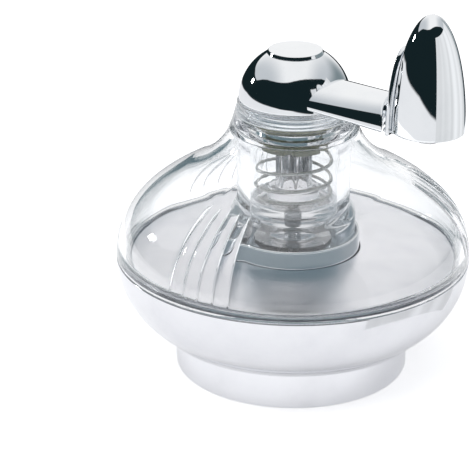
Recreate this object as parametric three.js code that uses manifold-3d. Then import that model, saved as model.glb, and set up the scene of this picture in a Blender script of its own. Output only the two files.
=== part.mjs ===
// A hand-cranked spice grater, in millimetres, +Z up, standing on its foot ring at z = 0.
// A chrome base holds the grater disc. A clear body stands on it, with a store round its
// central tube, and carries a crank that turns a sprung plunger inside that tube.
import * as THREE from 'three';
import { mergeVertices } from 'three/addons/utils/BufferGeometryUtils.js';
import Module from 'manifold-3d';

const wasm = await Module();
wasm.setup();

// Clearances and facets. A cutter runs past the surface that it opens by the overshoot.
const GAP = 0.3;
const OVERSHOOT = 1;
const LARGE_FACETS = 36;
const MIDDLE_FACETS = 28;
const SMALL_FACETS = 16;
const SCREW_FACETS = 12;
const CURVE_STEPS = 7;

// Foot ring
const FOOT_RADIUS = 31.4;
const FOOT_WALL = 2.4;
const FOOT_HEIGHT = 11.3;
const FOOT_FLANGE_WIDTH = 7;
const FOOT_FLANGE_THICKNESS = 1.6;
const FOOT_EDGE = 0.5;

// Base bowl
const BODY_RADIUS = 47.5;
const BOWL_HEIGHT = 20.2;
const BOWL_FLOOR_RADIUS = 36.3;
const BOWL_WALL = 1.8;
const BOWL_EDGE = 1;
const BOWL_RIM_PULL = 0.42;
const BOWL_FOOT_SPREAD = 0.62;
const BOWL_FOOT_LIFT = 0.21;
const LEDGE_WIDTH = 3.6;
const LEDGE_THICKNESS = 1.5;

// Storage deck and the cup in its middle
const DECK_THICKNESS = 1.2;
const DECK_RISE = 1.8;
const DECK_EDGE_STEP = 0.4;
const CUP_RADIUS = 17.8;
const CUP_WALL = 0.9;
const CUP_RIM_RISE = 4.7;
const CUP_FLANGE_THICKNESS = 2.4;
const CUP_FLANGE_MARGIN = 2.8;
const SHELF_HEIGHT = 12.9;
const SHELF_THICKNESS = 1.7;
const SHELF_WIDTH = 3.5;

// Grater disc
const GRATER_THICKNESS = 0.8;
const BLADE_COUNT = 6;
const BLADE_START = 3.4;
const BLADE_LENGTH = 7.4;
const BLADE_SLOT = 1.4;
const BLADE_RISE = 0.9;

// Screws
const SCREW_COUNT = 3;
const FOOT_SCREW_ANGLE = 30;
const GRATER_SCREW_ANGLE = 90;
const FOOT_SCREW_RADIUS = 1.2;
const FOOT_SCREW_HEAD = 2.2;
const FOOT_SCREW_HEAD_HEIGHT = 1.3;
const GRATER_SCREW_RADIUS = 0.8;
const GRATER_SCREW_HEAD = 1.4;
const GRATER_SCREW_HEAD_HEIGHT = 1;

// Clear body
const BODY_HEIGHT = 43.1;
const BODY_WALL = 2.3;
const LIP_WALL = 1.5;
const LIP_DEPTH = 2.8;
const SHOULDER_RADIUS = 29.3;
const SHOULDER_DROP = 19.7;
const SHOULDER_SLOPE = 28;
const SIDE_PULL = 0.4;
const SHOULDER_PULL = 0.52;
const FLARE_PULL = 0.42;
const NECK_SPREAD = 0.11;
const NECK_PULL = 0.54;
const ROOF_FILLET = 1;
const NECK_RADIUS = 15.1;
const TUBE_RADIUS = 15.1;
const TUBE_BORE = 11.8;
const TUBE_LIFT = 2.6;
const TUBE_MOUTH = 1.4;
const TUBE_FOOT_RISE = 4.8;
const TUBE_TAPER = 2.5;
const BEARING_DEPTH = 5.7;
const BEARING_THICKNESS = 3.5;
const NECK_GROOVES = 3;
const NECK_GROOVE_DEPTH = 0.4;

// Grip grooves in the clear body
const GROOVE_GROUPS = 3;
const GROOVES_PER_GROUP = 5;
const GROOVE_FIRST_ANGLE = -122;
const GROOVE_PITCH = 5.3;
const GROOVE_WIDTH = 1;
const GROOVE_DEPTH = 0.45;
const GROOVE_START = 2.4;
const GROOVE_LENGTH = 19.5;
const GROOVE_RUN_OUT = 0.02;

// Crank hub
const SPIGOT_RADIUS = 13.2;
const SPIGOT_GROOVES = 3;
const SPIGOT_GROOVE_DEPTH = 0.45;
const DOME_RADIUS = 14.8;
const DOME_HEIGHT = 14.4;
const HUB_WALL = 2.9;
const HUB_CROWN = 3.4;
const SLEEVE_DROP = 2.5;
const JOURNAL_RADIUS = 7.9;
const JOURNAL_END_RADIUS = 6.9;
const WASHER_THICKNESS = 0.7;
const BUSH_RADIUS = 9.3;
const BUSH_THICKNESS = 3.1;
const BUSH_NOTCHES = 6;
const BUSH_NOTCH_WIDTH = 1.6;
const BUSH_NOTCH_DEPTH = 1.2;
const CAP_RADIUS = 6.75;
const CAP_FLANGE_RADIUS = 7.5;
const CAP_THICKNESS = 1.6;
const CAP_BEVEL = 0.6;
const CAP_SEAT_DEPTH = 1;
const CAP_SEAT_WIDTH = 1;

// Crank arm, knob saddle and knob
const CRANK_ANGLE = -40;
const ARM_RISE = 1.95;
const ARM_DROP = 1.65;
const ARM_ROOT_HALF_WIDTH = 9.95;
const ARM_ROOT_HEIGHT = 5.1;
const ARM_END_HALF_WIDTH = 7.65;
const ARM_END_HEIGHT = 7.75;
const ARM_END_REACH = 35;
const ARM_CORNER_WIDTH = 0.06;
const ARM_CORNER_HEIGHT = 0.08;
const ARM_NECK_RADIUS = 2.6;
const ARM_NECK_LENGTH = 0.8;
const KNOB_OFFSET = 42.9;
const KNOB_RADIUS = 9.3;
const KNOB_HEIGHT = 30.3;
const KNOB_RISE = 0.7;
const KNOB_EDGE = 0.6;
const KNOB_BUSH_RADIUS = 4;
const KNOB_BUSH_LENGTH = 17.3;
const KNOB_CAVITY_SPARE = 0.9;
const PIN_RADIUS = 2;
const PIN_HEAD_RADIUS = 3;
const PIN_HEAD_HEIGHT = 0.8;
const PIN_GROOVE_DEPTH = 0.3;
const PIN_GROOVE_HEIGHT = 1.2;
const PIN_GROOVE_DROP = 3.6;
const SADDLE_THICKNESS = 1.2;
const SADDLE_GAP = 0.4;
const SADDLE_HEIGHT = 20.5;
const SADDLE_HALF_WIDTH = 6.5;
const TAB_RADIUS = 5;

// Plunger
const COLLAR_GAP = 0.4;
const COLLAR_HEIGHT = 6.2;
const BOSS_RADIUS = 6.8;
const BOSS_HEIGHT = 3;
const PLUNGER_NECK_RADIUS = 6.5;
const PLUNGER_NECK_LENGTH = 3.8;
const STEM_RADIUS = 4.9;
const FLUTE_COUNT = 8;
const FLUTE_DEPTH = 0.6;
const CLAW_RADIUS = 10.4;
const CLAW_THICKNESS = 1.2;
const CLAW_CLEARANCE = 9;
const SPIKE_COUNT = 3;
const SPIKE_CIRCLE = 6.5;
const SPIKE_RADIUS = 1.1;
const SPIKE_TIP_RADIUS = 0.14;
const SPIKE_LENGTH = 6.9;
const CLAW_SCREW_RADIUS = 1.5;
const CLAW_SCREW_HEAD = 3;
const CLAW_SCREW_LENGTH = 9;
const STOP_WASHER_RADIUS = 5.6;
const STOP_WASHER_THICKNESS = 0.8;
const STOP_SCREW_RADIUS = 1.2;
const STOP_SCREW_HEAD = 2.6;
const STOP_SCREW_LENGTH = 7;
const LOW_HEAD_HEIGHT = 1.2;

// Plunger spring
const SPRING_RADIUS = 10;
const SPRING_TOP_RADIUS = 6.2;
const SPRING_WIRE = 0.95;
const SPRING_TURNS = 2.83;
const SPRING_FIRST_ANGLE = 209;
const SPRING_RISE_POWER = 1.4;
const SPRING_WIND_IN_START = 0.86;
const SPRING_STEPS_PER_TURN = 8;
const SPRING_SIDES = 5;

// Heights that follow from the sizes above, from the table upwards
const floorZ = FOOT_HEIGHT + GAP;
const floorTopZ = floorZ + BOWL_WALL;
const rimZ = floorZ + BOWL_HEIGHT;
const seamZ = rimZ + GAP;
const cupBottomZ = floorTopZ + GAP;
const shelfTopZ = cupBottomZ + SHELF_HEIGHT - GAP;
const graterZ = shelfTopZ + GAP;
const graterTopZ = graterZ + GRATER_THICKNESS;
const deckEdgeZ = rimZ + DECK_EDGE_STEP;
const deckInnerZ = deckEdgeZ + DECK_RISE;
const cupRimZ = deckInnerZ + CUP_RIM_RISE;
const ledgeZ = seamZ - LIP_DEPTH - 2 * GAP;
const neckTopZ = seamZ + BODY_HEIGHT;
const bearingTopZ = neckTopZ - BEARING_DEPTH;
const bearingBottomZ = bearingTopZ - BEARING_THICKNESS;
const washerZ = bearingTopZ + GAP;
const spigotZ = washerZ + WASHER_THICKNESS + GAP;
const domeZ = neckTopZ + GAP;
const sleeveTopZ = domeZ - SLEEVE_DROP;
const bushTopZ = bearingBottomZ - GAP;
const bushBottomZ = bushTopZ - BUSH_THICKNESS;
const clawZ = graterTopZ + CLAW_CLEARANCE;
const plungerBottomZ = clawZ + CLAW_THICKNESS + GAP;
const collarZ = plungerBottomZ + PLUNGER_NECK_LENGTH;
const collarTopZ = collarZ + COLLAR_HEIGHT;
const armRootZ = domeZ + ARM_RISE;
const armEndZ = armRootZ - ARM_DROP;
const knobZ = armEndZ + KNOB_RISE;
const tabTopZ = knobZ - GAP;
const tabBottomZ = tabTopZ - SADDLE_THICKNESS;

// Radii that follow from the sizes above
const footInnerRadius = FOOT_RADIUS - FOOT_WALL;
const footScrewCircle = footInnerRadius - FOOT_FLANGE_WIDTH / 2;
const cupInnerRadius = CUP_RADIUS - CUP_WALL;
const shelfInnerRadius = cupInnerRadius - SHELF_WIDTH;
const graterScrewCircle = cupInnerRadius - SHELF_WIDTH / 2;
const lipOuterRadius = BODY_RADIUS - BOWL_WALL - GAP;
const lipInnerRadius = lipOuterRadius - LIP_WALL;
const deckRadius = lipInnerRadius - GAP;
const tubeFootRadius = cupInnerRadius - GAP;
const collarRadius = TUBE_BORE - COLLAR_GAP;
const neckBoreRadius = SPIGOT_RADIUS + GAP;
const capPocketRadius = CAP_RADIUS + GAP;
const capHoleRadius = capPocketRadius - CAP_SEAT_WIDTH;
const knobCavityRadius = KNOB_BUSH_RADIUS + GAP;

const radians = THREE.MathUtils.degToRad;
const v2 = (r, z) => new THREE.Vector2(r, z);

// Solids and the joins and cuts between them

// A closed geometry becomes a solid once its shared corners are merged and slivers are dropped.
function toSolid(geometry) {
  geometry.deleteAttribute('normal');
  geometry.deleteAttribute('uv');
  const merged = mergeVertices(geometry, 1e-4);
  const kept = [];
  for (let i = 0; i < merged.index.count; i += 3) {
    const [a, b, c] = [0, 1, 2].map((k) => merged.index.getX(i + k));
    if (a !== b && b !== c && c !== a) kept.push(a, b, c);
  }
  return new wasm.Manifold(new wasm.Mesh({
    numProp: 3,
    vertProperties: new Float32Array(merged.attributes.position.array),
    triVerts: new Uint32Array(kept),
  }));
}

function toGeometry(solid) {
  const mesh = solid.getMesh();
  const geometry = new THREE.BufferGeometry();
  geometry.setAttribute('position', new THREE.BufferAttribute(mesh.vertProperties, 3));
  geometry.setIndex(new THREE.BufferAttribute(mesh.triVerts, 1));
  return geometry;
}

// Turns a profile of radius and height round the Z axis. A profile off the axis is closed on itself.
function turned(profile, facets = LARGE_FACETS) {
  const points = profile.map(([r, z]) => v2(r, z));
  const onAxis = points[0].x === 0 && points.at(-1).x === 0;
  if (!onAxis) points.push(points[0].clone());
  return toSolid(new THREE.LatheGeometry(points, facets).rotateX(Math.PI / 2));
}

function ring(inner, outer, bottom, top, facets = LARGE_FACETS) {
  return turned([[inner, bottom], [outer, bottom], [outer, top], [inner, top]], facets);
}

function rod(radius, bottom, top, facets = SMALL_FACETS) {
  return turned([[0, bottom], [radius, bottom], [radius, top], [0, top]], facets);
}

// A rod along +X.
function levelRod(radius, startX, endX, z) {
  return rod(radius, startX, endX).rotate([0, 90, 0]).translate([0, 0, z]);
}

// A bar along +X that joins copies of one convex section. Each station has its x, its underside's z,
// half its width and its height.
function taperedBar(section, stations) {
  const count = section.length;
  const positions = stations.flatMap(([x, z, halfWidth, height]) => (
    section.flatMap(([across, up]) => [x, halfWidth * across, z + height * up])
  ));
  const faces = [];
  for (let i = 0; i < stations.length - 1; i += 1) {
    for (let k = 0; k < count; k += 1) {
      const a = i * count + k;
      const b = i * count + ((k + 1) % count);
      faces.push(a, a + count, b, b, a + count, b + count);
    }
  }
  const last = (stations.length - 1) * count;
  for (let k = 1; k < count - 1; k += 1) {
    faces.push(0, k, k + 1, last, last + k + 1, last + k);
  }
  const geometry = new THREE.BufferGeometry();
  geometry.setAttribute('position', new THREE.Float32BufferAttribute(positions, 3));
  geometry.setIndex(faces);
  return toSolid(geometry);
}

// An outline in the XY plane, pulled up from one height to another.
function pulledUp(outline, bottom, top) {
  const geometry = new THREE.ExtrudeGeometry(new THREE.Shape(outline), {
    depth: top - bottom,
    bevelEnabled: false,
  });
  return toSolid(geometry.translate(0, 0, bottom));
}

const placed = (solid, x, y) => solid.translate([x, y, 0]);
const spun = (solid, degrees) => solid.rotate([0, 0, degrees]);

// The same solid at equal angles round the Z axis.
function around(count, makeOne, firstAngle = 0) {
  return Array.from({ length: count }, (_, i) => spun(makeOne(i), firstAngle + (360 * i) / count));
}

const cutAll = (solid, cutters) => cutters.reduce((left, cutter) => left.subtract(cutter), solid);
const joinAll = (solid, others) => others.reduce((left, other) => left.add(other), solid);

function curvePoints(p0, p1, p2, p3, steps = CURVE_STEPS) {
  return new THREE.CubicBezierCurve(v2(...p0), v2(...p1), v2(...p2), v2(...p3)).getPoints(steps)
    .map((p) => [p.x, p.y]);
}

// Outlines of the body

// The bowl's side, from the rim down to the floor: upright at the rim, then rounding in.
function bowlSide(inset) {
  const width = BODY_RADIUS - BOWL_FLOOR_RADIUS;
  const bottomZ = floorZ + BOWL_EDGE;
  const height = rimZ - bottomZ;
  return curvePoints(
    [BODY_RADIUS - inset, rimZ],
    [BODY_RADIUS - inset, rimZ - BOWL_RIM_PULL * height],
    [BOWL_FLOOR_RADIUS - inset + BOWL_FOOT_SPREAD * width, bottomZ + inset + BOWL_FOOT_LIFT * height],
    [BOWL_FLOOR_RADIUS - inset, bottomZ + inset],
  );
}

// The clear body's outside, from the seam up to the neck: a round shoulder, then a hollow flare.
function bodyOutline(steps = CURVE_STEPS) {
  const shoulderZ = neckTopZ - SHOULDER_DROP;
  const slope = [Math.cos(radians(SHOULDER_SLOPE)), Math.sin(radians(SHOULDER_SLOPE))];
  const lowerReach = SHOULDER_PULL * Math.hypot(BODY_RADIUS - SHOULDER_RADIUS, shoulderZ - seamZ);
  const upperReach = FLARE_PULL * Math.hypot(SHOULDER_RADIUS - NECK_RADIUS, SHOULDER_DROP);
  const shoulder = curvePoints(
    [BODY_RADIUS, seamZ],
    [BODY_RADIUS, seamZ + SIDE_PULL * (shoulderZ - seamZ)],
    [SHOULDER_RADIUS + lowerReach * slope[0], shoulderZ - lowerReach * slope[1]],
    [SHOULDER_RADIUS, shoulderZ],
    steps,
  );
  const flare = curvePoints(
    [SHOULDER_RADIUS, shoulderZ],
    [SHOULDER_RADIUS - upperReach * slope[0], shoulderZ + upperReach * slope[1]],
    [NECK_RADIUS + NECK_SPREAD * SHOULDER_DROP, neckTopZ - NECK_PULL * SHOULDER_DROP],
    [NECK_RADIUS, neckTopZ],
    steps,
  );
  return shoulder.concat(flare.slice(1));
}

// Moves an outline inwards, square to itself. The outline runs upwards with the solid on its left.
function inwards(outline, distance) {
  return outline.map(([r, z], i) => {
    const [r0, z0] = outline[Math.max(i - 1, 0)];
    const [r1, z1] = outline[Math.min(i + 1, outline.length - 1)];
    const length = Math.hypot(r1 - r0, z1 - z0);
    const d = typeof distance === 'function' ? distance(i / (outline.length - 1)) : distance;
    return [r - (d * (z1 - z0)) / length, z + (d * (r1 - r0)) / length];
  });
}

// The knob's outside is a half ellipse with a small round at its bottom edge.
function knobRadiusAt(z, extra = 0) {
  const t = Math.min(1, Math.max(0, (z - knobZ) / (KNOB_HEIGHT + extra)));
  return (KNOB_RADIUS + extra) * Math.sqrt(1 - t * t);
}

function halfEllipse(radius, bottom, height, startRadius, endRadius, steps) {
  const start = Math.asin(Math.sqrt(1 - Math.min(1, startRadius / radius) ** 2));
  const end = Math.asin(Math.sqrt(1 - Math.min(1, endRadius / radius) ** 2));
  return Array.from({ length: steps + 1 }, (_, i) => {
    const angle = start + ((end - start) * i) / steps;
    return [i === steps ? endRadius : radius * Math.cos(angle), bottom + height * Math.sin(angle)];
  });
}

// A round outline whose edge waves in and out once for each flute.
function flutedOutline(extra) {
  const points = FLUTE_COUNT * 4;
  return Array.from({ length: points }, (_, i) => {
    const angle = (2 * Math.PI * i) / points;
    const wave = (FLUTE_DEPTH / 2) * (Math.cos(FLUTE_COUNT * angle) - 1);
    const radius = STEM_RADIUS + extra + wave;
    return v2(radius * Math.cos(angle), radius * Math.sin(angle));
  });
}

// The arm's section, one unit high and two wide: half an ellipse over a flat underside with round
// corners. Half of it runs down from the middle of its top, and is then mirrored.
function armSection() {
  const quarter = (centre, reach, from, to, steps) => Array.from({ length: steps + 1 }, (_, i) => {
    const angle = radians(from + ((to - from) * i) / steps);
    return [centre[0] + reach[0] * Math.cos(angle), centre[1] + reach[1] * Math.sin(angle)];
  });
  const side = [1 - ARM_CORNER_WIDTH, ARM_CORNER_HEIGHT];
  const crown = quarter([0, ARM_CORNER_HEIGHT], [1, 1 - ARM_CORNER_HEIGHT], 90, 0, CURVE_STEPS + 1);
  const corner = quarter(side, [ARM_CORNER_WIDTH, ARM_CORNER_HEIGHT], 0, -90, 2);
  const half = crown.concat(corner.slice(1));
  return half.concat(half.slice(1).reverse().map(([across, up]) => [-across, up]));
}

// Base: it stands still

function footRing() {
  const flangeZ = FOOT_HEIGHT - FOOT_FLANGE_THICKNESS;
  const flangeRadius = footInnerRadius - FOOT_FLANGE_WIDTH;
  const body = turned([
    [footInnerRadius + FOOT_EDGE, 0], [FOOT_RADIUS - FOOT_EDGE, 0], [FOOT_RADIUS, FOOT_EDGE],
    [FOOT_RADIUS, FOOT_HEIGHT], [flangeRadius, FOOT_HEIGHT], [flangeRadius, flangeZ],
    [footInnerRadius, flangeZ], [footInnerRadius, FOOT_EDGE],
  ]);
  return cutAll(body, footScrewHoles(flangeZ, FOOT_HEIGHT));
}

// Cutters for a circle of screw holes through a plate.
function screwHoles(screwRadius, circle, firstAngle, bottom, top) {
  const one = rod(screwRadius + GAP, bottom - OVERSHOOT, top + OVERSHOOT, SCREW_FACETS);
  return around(SCREW_COUNT, () => placed(one, circle, 0), firstAngle);
}

function footScrewHoles(bottom, top) {
  return screwHoles(FOOT_SCREW_RADIUS, footScrewCircle, FOOT_SCREW_ANGLE, bottom, top);
}

function graterScrewHoles(bottom, top) {
  return screwHoles(GRATER_SCREW_RADIUS, graterScrewCircle, GRATER_SCREW_ANGLE, bottom, top);
}

function baseBowl() {
  const outside = bowlSide(0).reverse();
  const inside = bowlSide(BOWL_WALL).filter(([, z]) => z < ledgeZ - LEDGE_THICKNESS);
  const ledgeRadius = BODY_RADIUS - BOWL_WALL - LEDGE_WIDTH;
  const holeRadius = footScrewCircle - 2 * FOOT_SCREW_HEAD;
  const innerSide = bowlSide(BOWL_WALL).find(([, z]) => z < ledgeZ - LEDGE_THICKNESS)[0];
  const body = turned([
    [holeRadius, floorZ], [BOWL_FLOOR_RADIUS - BOWL_EDGE, floorZ], ...outside,
    [BODY_RADIUS - BOWL_WALL, rimZ], [BODY_RADIUS - BOWL_WALL, ledgeZ], [ledgeRadius, ledgeZ],
    [ledgeRadius, ledgeZ - LEDGE_THICKNESS], [innerSide, ledgeZ - LEDGE_THICKNESS], ...inside,
    [BOWL_FLOOR_RADIUS - BOWL_WALL - BOWL_EDGE, floorTopZ], [holeRadius, floorTopZ],
  ]);
  return cutAll(body, footScrewHoles(floorZ, floorTopZ));
}

function storageDeck() {
  const hole = CUP_RADIUS + GAP;
  const skirtBottom = ledgeZ + GAP;
  return turned([
    [hole, deckInnerZ - DECK_THICKNESS], [deckRadius - DECK_THICKNESS, deckEdgeZ - DECK_THICKNESS],
    [deckRadius - DECK_THICKNESS, skirtBottom], [deckRadius, skirtBottom], [deckRadius, deckEdgeZ],
    [hole, deckInnerZ],
  ]);
}

function chamberCup() {
  const flangeRadius = footScrewCircle + CUP_FLANGE_MARGIN;
  const flangeTop = cupBottomZ + CUP_FLANGE_THICKNESS;
  const ringRadius = CUP_RADIUS + DECK_THICKNESS;
  const deckSlope = DECK_RISE / (deckRadius - CUP_RADIUS);
  const ringTop = deckInnerZ - DECK_THICKNESS - GAP - deckSlope * DECK_THICKNESS;
  const shelfBottom = shelfTopZ - SHELF_THICKNESS;
  const body = turned([
    [cupInnerRadius, cupBottomZ], [flangeRadius, cupBottomZ], [flangeRadius, flangeTop],
    [CUP_RADIUS, flangeTop], [CUP_RADIUS, ringTop - DECK_THICKNESS],
    [ringRadius, ringTop - DECK_THICKNESS], [ringRadius, ringTop], [CUP_RADIUS, ringTop],
    [CUP_RADIUS, cupRimZ], [cupInnerRadius, cupRimZ], [cupInnerRadius, shelfTopZ],
    [shelfInnerRadius, shelfTopZ], [shelfInnerRadius, shelfBottom], [cupInnerRadius, shelfBottom],
  ]);
  const flangeDrilled = cutAll(body, footScrewHoles(cupBottomZ, flangeTop));
  return cutAll(flangeDrilled, graterScrewHoles(shelfBottom, shelfTopZ));
}

// Each blade is a slot in the disc with a sharp lip standing up behind it.
function graterDisc() {
  const end = BLADE_START + BLADE_LENGTH;
  const disc = rod(cupInnerRadius - GAP, graterZ, graterTopZ, LARGE_FACETS);
  const slot = () => pulledUp(
    [v2(BLADE_START, 0), v2(end, 0), v2(end, BLADE_SLOT), v2(BLADE_START, BLADE_SLOT)],
    graterZ - OVERSHOOT,
    graterTopZ + OVERSHOOT,
  );
  const lip = () => {
    const low = graterTopZ - GRATER_THICKNESS / 2;
    const wedge = new THREE.Shape([v2(-2 * BLADE_SLOT, low), v2(0, low), v2(0, graterTopZ + BLADE_RISE)]);
    const geometry = new THREE.ExtrudeGeometry(wedge, { depth: BLADE_LENGTH, bevelEnabled: false });
    return toSolid(geometry.rotateX(Math.PI / 2).rotateZ(Math.PI / 2).translate(BLADE_START, 0, 0));
  };
  const withLips = joinAll(disc, around(BLADE_COUNT, lip));
  const withSlots = cutAll(withLips, around(BLADE_COUNT, slot));
  return cutAll(withSlots, graterScrewHoles(graterZ, graterTopZ));
}

// A screw along Z with its head at one end. A head under its shank points the screw upwards.
function screw(radius, headRadius, headHeight, headZ, tipZ) {
  const headEnd = headZ + Math.sign(headZ - tipZ) * headHeight;
  const profile = [
    [0, tipZ], [radius, tipZ], [radius, headZ],
    [headRadius, headZ], [headRadius, headEnd], [0, headEnd],
  ];
  return turned(tipZ < headZ ? profile : profile.reverse(), SCREW_FACETS);
}

function footScrew() {
  const headZ = FOOT_HEIGHT - FOOT_FLANGE_THICKNESS - GAP;
  const tipZ = cupBottomZ + CUP_FLANGE_THICKNESS;
  const one = screw(FOOT_SCREW_RADIUS, FOOT_SCREW_HEAD, FOOT_SCREW_HEAD_HEIGHT, headZ, tipZ);
  return placed(one, footScrewCircle, 0);
}

function graterScrew() {
  const headZ = graterTopZ + GAP;
  const tipZ = shelfTopZ - SHELF_THICKNESS;
  const one = screw(GRATER_SCREW_RADIUS, GRATER_SCREW_HEAD, GRATER_SCREW_HEAD_HEIGHT, headZ, tipZ);
  return placed(one, graterScrewCircle, 0);
}

// Upper body: it lifts off the base

// Points up a round side with evenly spaced grooves. The depth is negative where they cut inwards.
function groovedSide(radius, depth, count, bottom, top) {
  const pitch = (top - bottom) / (2 * count + 1);
  const side = [[radius, bottom]];
  for (let i = 0; i < count; i += 1) {
    const low = bottom + pitch * (2 * i + 1);
    const root = radius + depth;
    side.push([radius, low], [root, low], [root, low + pitch], [radius, low + pitch]);
  }
  side.push([radius, top]);
  return side;
}

function clearBody() {
  const outside = bodyOutline();
  const roofRadius = TUBE_RADIUS + ROOF_FILLET;
  const inside = inwards(outside, BODY_WALL)
    .filter(([r, z]) => r > roofRadius && z > deckInnerZ)
    .reverse();
  const tubeBottomZ = graterTopZ + TUBE_LIFT;
  const tubeFootTopZ = cupRimZ + TUBE_FOOT_RISE;
  const neckBore = groovedSide(neckBoreRadius, NECK_GROOVE_DEPTH, NECK_GROOVES, bearingTopZ, neckTopZ);
  const body = turned([
    [lipInnerRadius, seamZ - LIP_DEPTH], [lipOuterRadius, seamZ - LIP_DEPTH], [lipOuterRadius, seamZ],
    ...outside,
    ...neckBore.reverse(),
    [JOURNAL_RADIUS + GAP, bearingTopZ], [JOURNAL_RADIUS + GAP, bearingBottomZ],
    [TUBE_BORE, bearingBottomZ], [TUBE_BORE, tubeBottomZ + 2 * TUBE_MOUTH],
    [TUBE_BORE + TUBE_MOUTH, tubeBottomZ], [tubeFootRadius, tubeBottomZ],
    [tubeFootRadius, tubeFootTopZ], [TUBE_RADIUS, tubeFootTopZ + TUBE_TAPER],
    [TUBE_RADIUS, inside[0][1] - ROOF_FILLET], ...inside,
    [lipInnerRadius, seamZ],
  ]);
  return cutAll(body, gripGrooves());
}

// Each groove follows the body's outline and runs out to nothing at both ends.
function gripGrooves() {
  const lowZ = seamZ + GROOVE_START;
  const stretch = bodyOutline(CURVE_STEPS + 2).filter(([, z]) => z > lowZ && z < lowZ + GROOVE_LENGTH);
  const bottom = inwards(stretch, (t) => GROOVE_DEPTH * Math.sqrt(Math.sin(Math.PI * t)) - GROOVE_RUN_OUT);
  const top = inwards(stretch, -OVERSHOOT).reverse();
  const outline = bottom.concat(top).map(([r, z]) => v2(r, z));
  const groove = (angle) => {
    const geometry = new THREE.ExtrudeGeometry(new THREE.Shape(outline), {
      depth: GROOVE_WIDTH,
      bevelEnabled: false,
    });
    geometry.translate(0, 0, -GROOVE_WIDTH / 2).rotateX(Math.PI / 2);
    return spun(toSolid(geometry), angle);
  };
  const middle = (GROOVES_PER_GROUP - 1) / 2;
  return Array.from({ length: GROOVE_GROUPS * GROOVES_PER_GROUP }, (_, i) => {
    const group = Math.floor(i / GROOVES_PER_GROUP);
    const place = (i % GROOVES_PER_GROUP) - middle;
    return groove(GROOVE_FIRST_ANGLE + (360 * group) / GROOVE_GROUPS + GROOVE_PITCH * place);
  });
}

function bearingWasher() {
  const top = washerZ + WASHER_THICKNESS;
  return ring(JOURNAL_RADIUS + GAP, SPIGOT_RADIUS - GAP, washerZ, top, MIDDLE_FACETS);
}

// Crank: it turns in the clear body's neck

function hubSolid() {
  const landRadius = capPocketRadius + GAP;
  const dome = halfEllipse(DOME_RADIUS, domeZ, DOME_HEIGHT, DOME_RADIUS, landRadius, CURVE_STEPS + 2);
  const spigot = groovedSide(SPIGOT_RADIUS, -SPIGOT_GROOVE_DEPTH, SPIGOT_GROOVES, spigotZ, domeZ);
  const outer = turned([
    [0, bushBottomZ + GAP], [JOURNAL_END_RADIUS, bushBottomZ + GAP],
    [JOURNAL_END_RADIUS, bearingBottomZ], [JOURNAL_RADIUS, bearingBottomZ],
    [JOURNAL_RADIUS, spigotZ], ...spigot, ...dome, [0, dome.at(-1)[1]],
  ], MIDDLE_FACETS);
  return { outer, crownZ: dome.at(-1)[1] };
}

function hubHollow(crownZ) {
  const radius = DOME_RADIUS - HUB_WALL;
  const height = DOME_HEIGHT - HUB_CROWN;
  const roof = halfEllipse(radius, domeZ, height, radius, capHoleRadius, CURVE_STEPS);
  const seatZ = crownZ - CAP_SEAT_DEPTH;
  return turned([
    [0, sleeveTopZ], [radius, sleeveTopZ], ...roof, [capHoleRadius, seatZ],
    [capPocketRadius, seatZ], [capPocketRadius, crownZ + OVERSHOOT], [0, crownZ + OVERSHOOT],
  ], MIDDLE_FACETS);
}

// The saddle hugs the side of the knob that faces the hub.
function saddleShell() {
  const upTo = knobZ + SADDLE_HEIGHT + OVERSHOOT;
  const side = (extra) => {
    const rows = Array.from({ length: CURVE_STEPS + 1 }, (_, i) => {
      const z = knobZ + ((upTo - knobZ) * i) / CURVE_STEPS;
      return [knobRadiusAt(z, extra), z];
    });
    const profile = [[0, tabBottomZ], [KNOB_RADIUS + extra, tabBottomZ], ...rows, [0, upTo]];
    return turned(profile, MIDDLE_FACETS);
  };
  const room = side(SADDLE_GAP).subtract(rod(2 * KNOB_RADIUS, tabBottomZ - OVERSHOOT, tabTopZ));
  return side(SADDLE_GAP + SADDLE_THICKNESS).subtract(room);
}

// Seen from the hub, the saddle is half an ellipse that stands on the tab.
function saddleOutline() {
  const height = knobZ + SADDLE_HEIGHT - tabBottomZ;
  const arc = 2 * CURVE_STEPS;
  const points = Array.from({ length: arc + 1 }, (_, i) => {
    const angle = (Math.PI * i) / arc;
    return v2(SADDLE_HALF_WIDTH * Math.cos(angle), tabBottomZ + height * Math.sin(angle));
  });
  const low = tabBottomZ - OVERSHOOT;
  return [v2(-SADDLE_HALF_WIDTH, low), v2(SADDLE_HALF_WIDTH, low), ...points];
}

// The tab turns under the knob and holds its pin.
function saddle() {
  const outline = new THREE.Shape(saddleOutline());
  const prism = new THREE.ExtrudeGeometry(outline, { depth: 2 * KNOB_RADIUS, bevelEnabled: false });
  const backRest = saddleShell().intersect(toSolid(prism.rotateX(Math.PI / 2).rotateZ(-Math.PI / 2)));
  const tabDisc = rod(TAB_RADIUS, tabBottomZ, tabTopZ);
  const tabBridge = pulledUp(
    [v2(-KNOB_RADIUS, -TAB_RADIUS), v2(0, -TAB_RADIUS), v2(0, TAB_RADIUS), v2(-KNOB_RADIUS, TAB_RADIUS)],
    tabBottomZ,
    tabTopZ,
  );
  const pinHole = rod(PIN_RADIUS + GAP, tabBottomZ - OVERSHOOT, tabTopZ + OVERSHOOT);
  return joinAll(backRest, [tabDisc, tabBridge]).subtract(pinHole);
}

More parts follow.
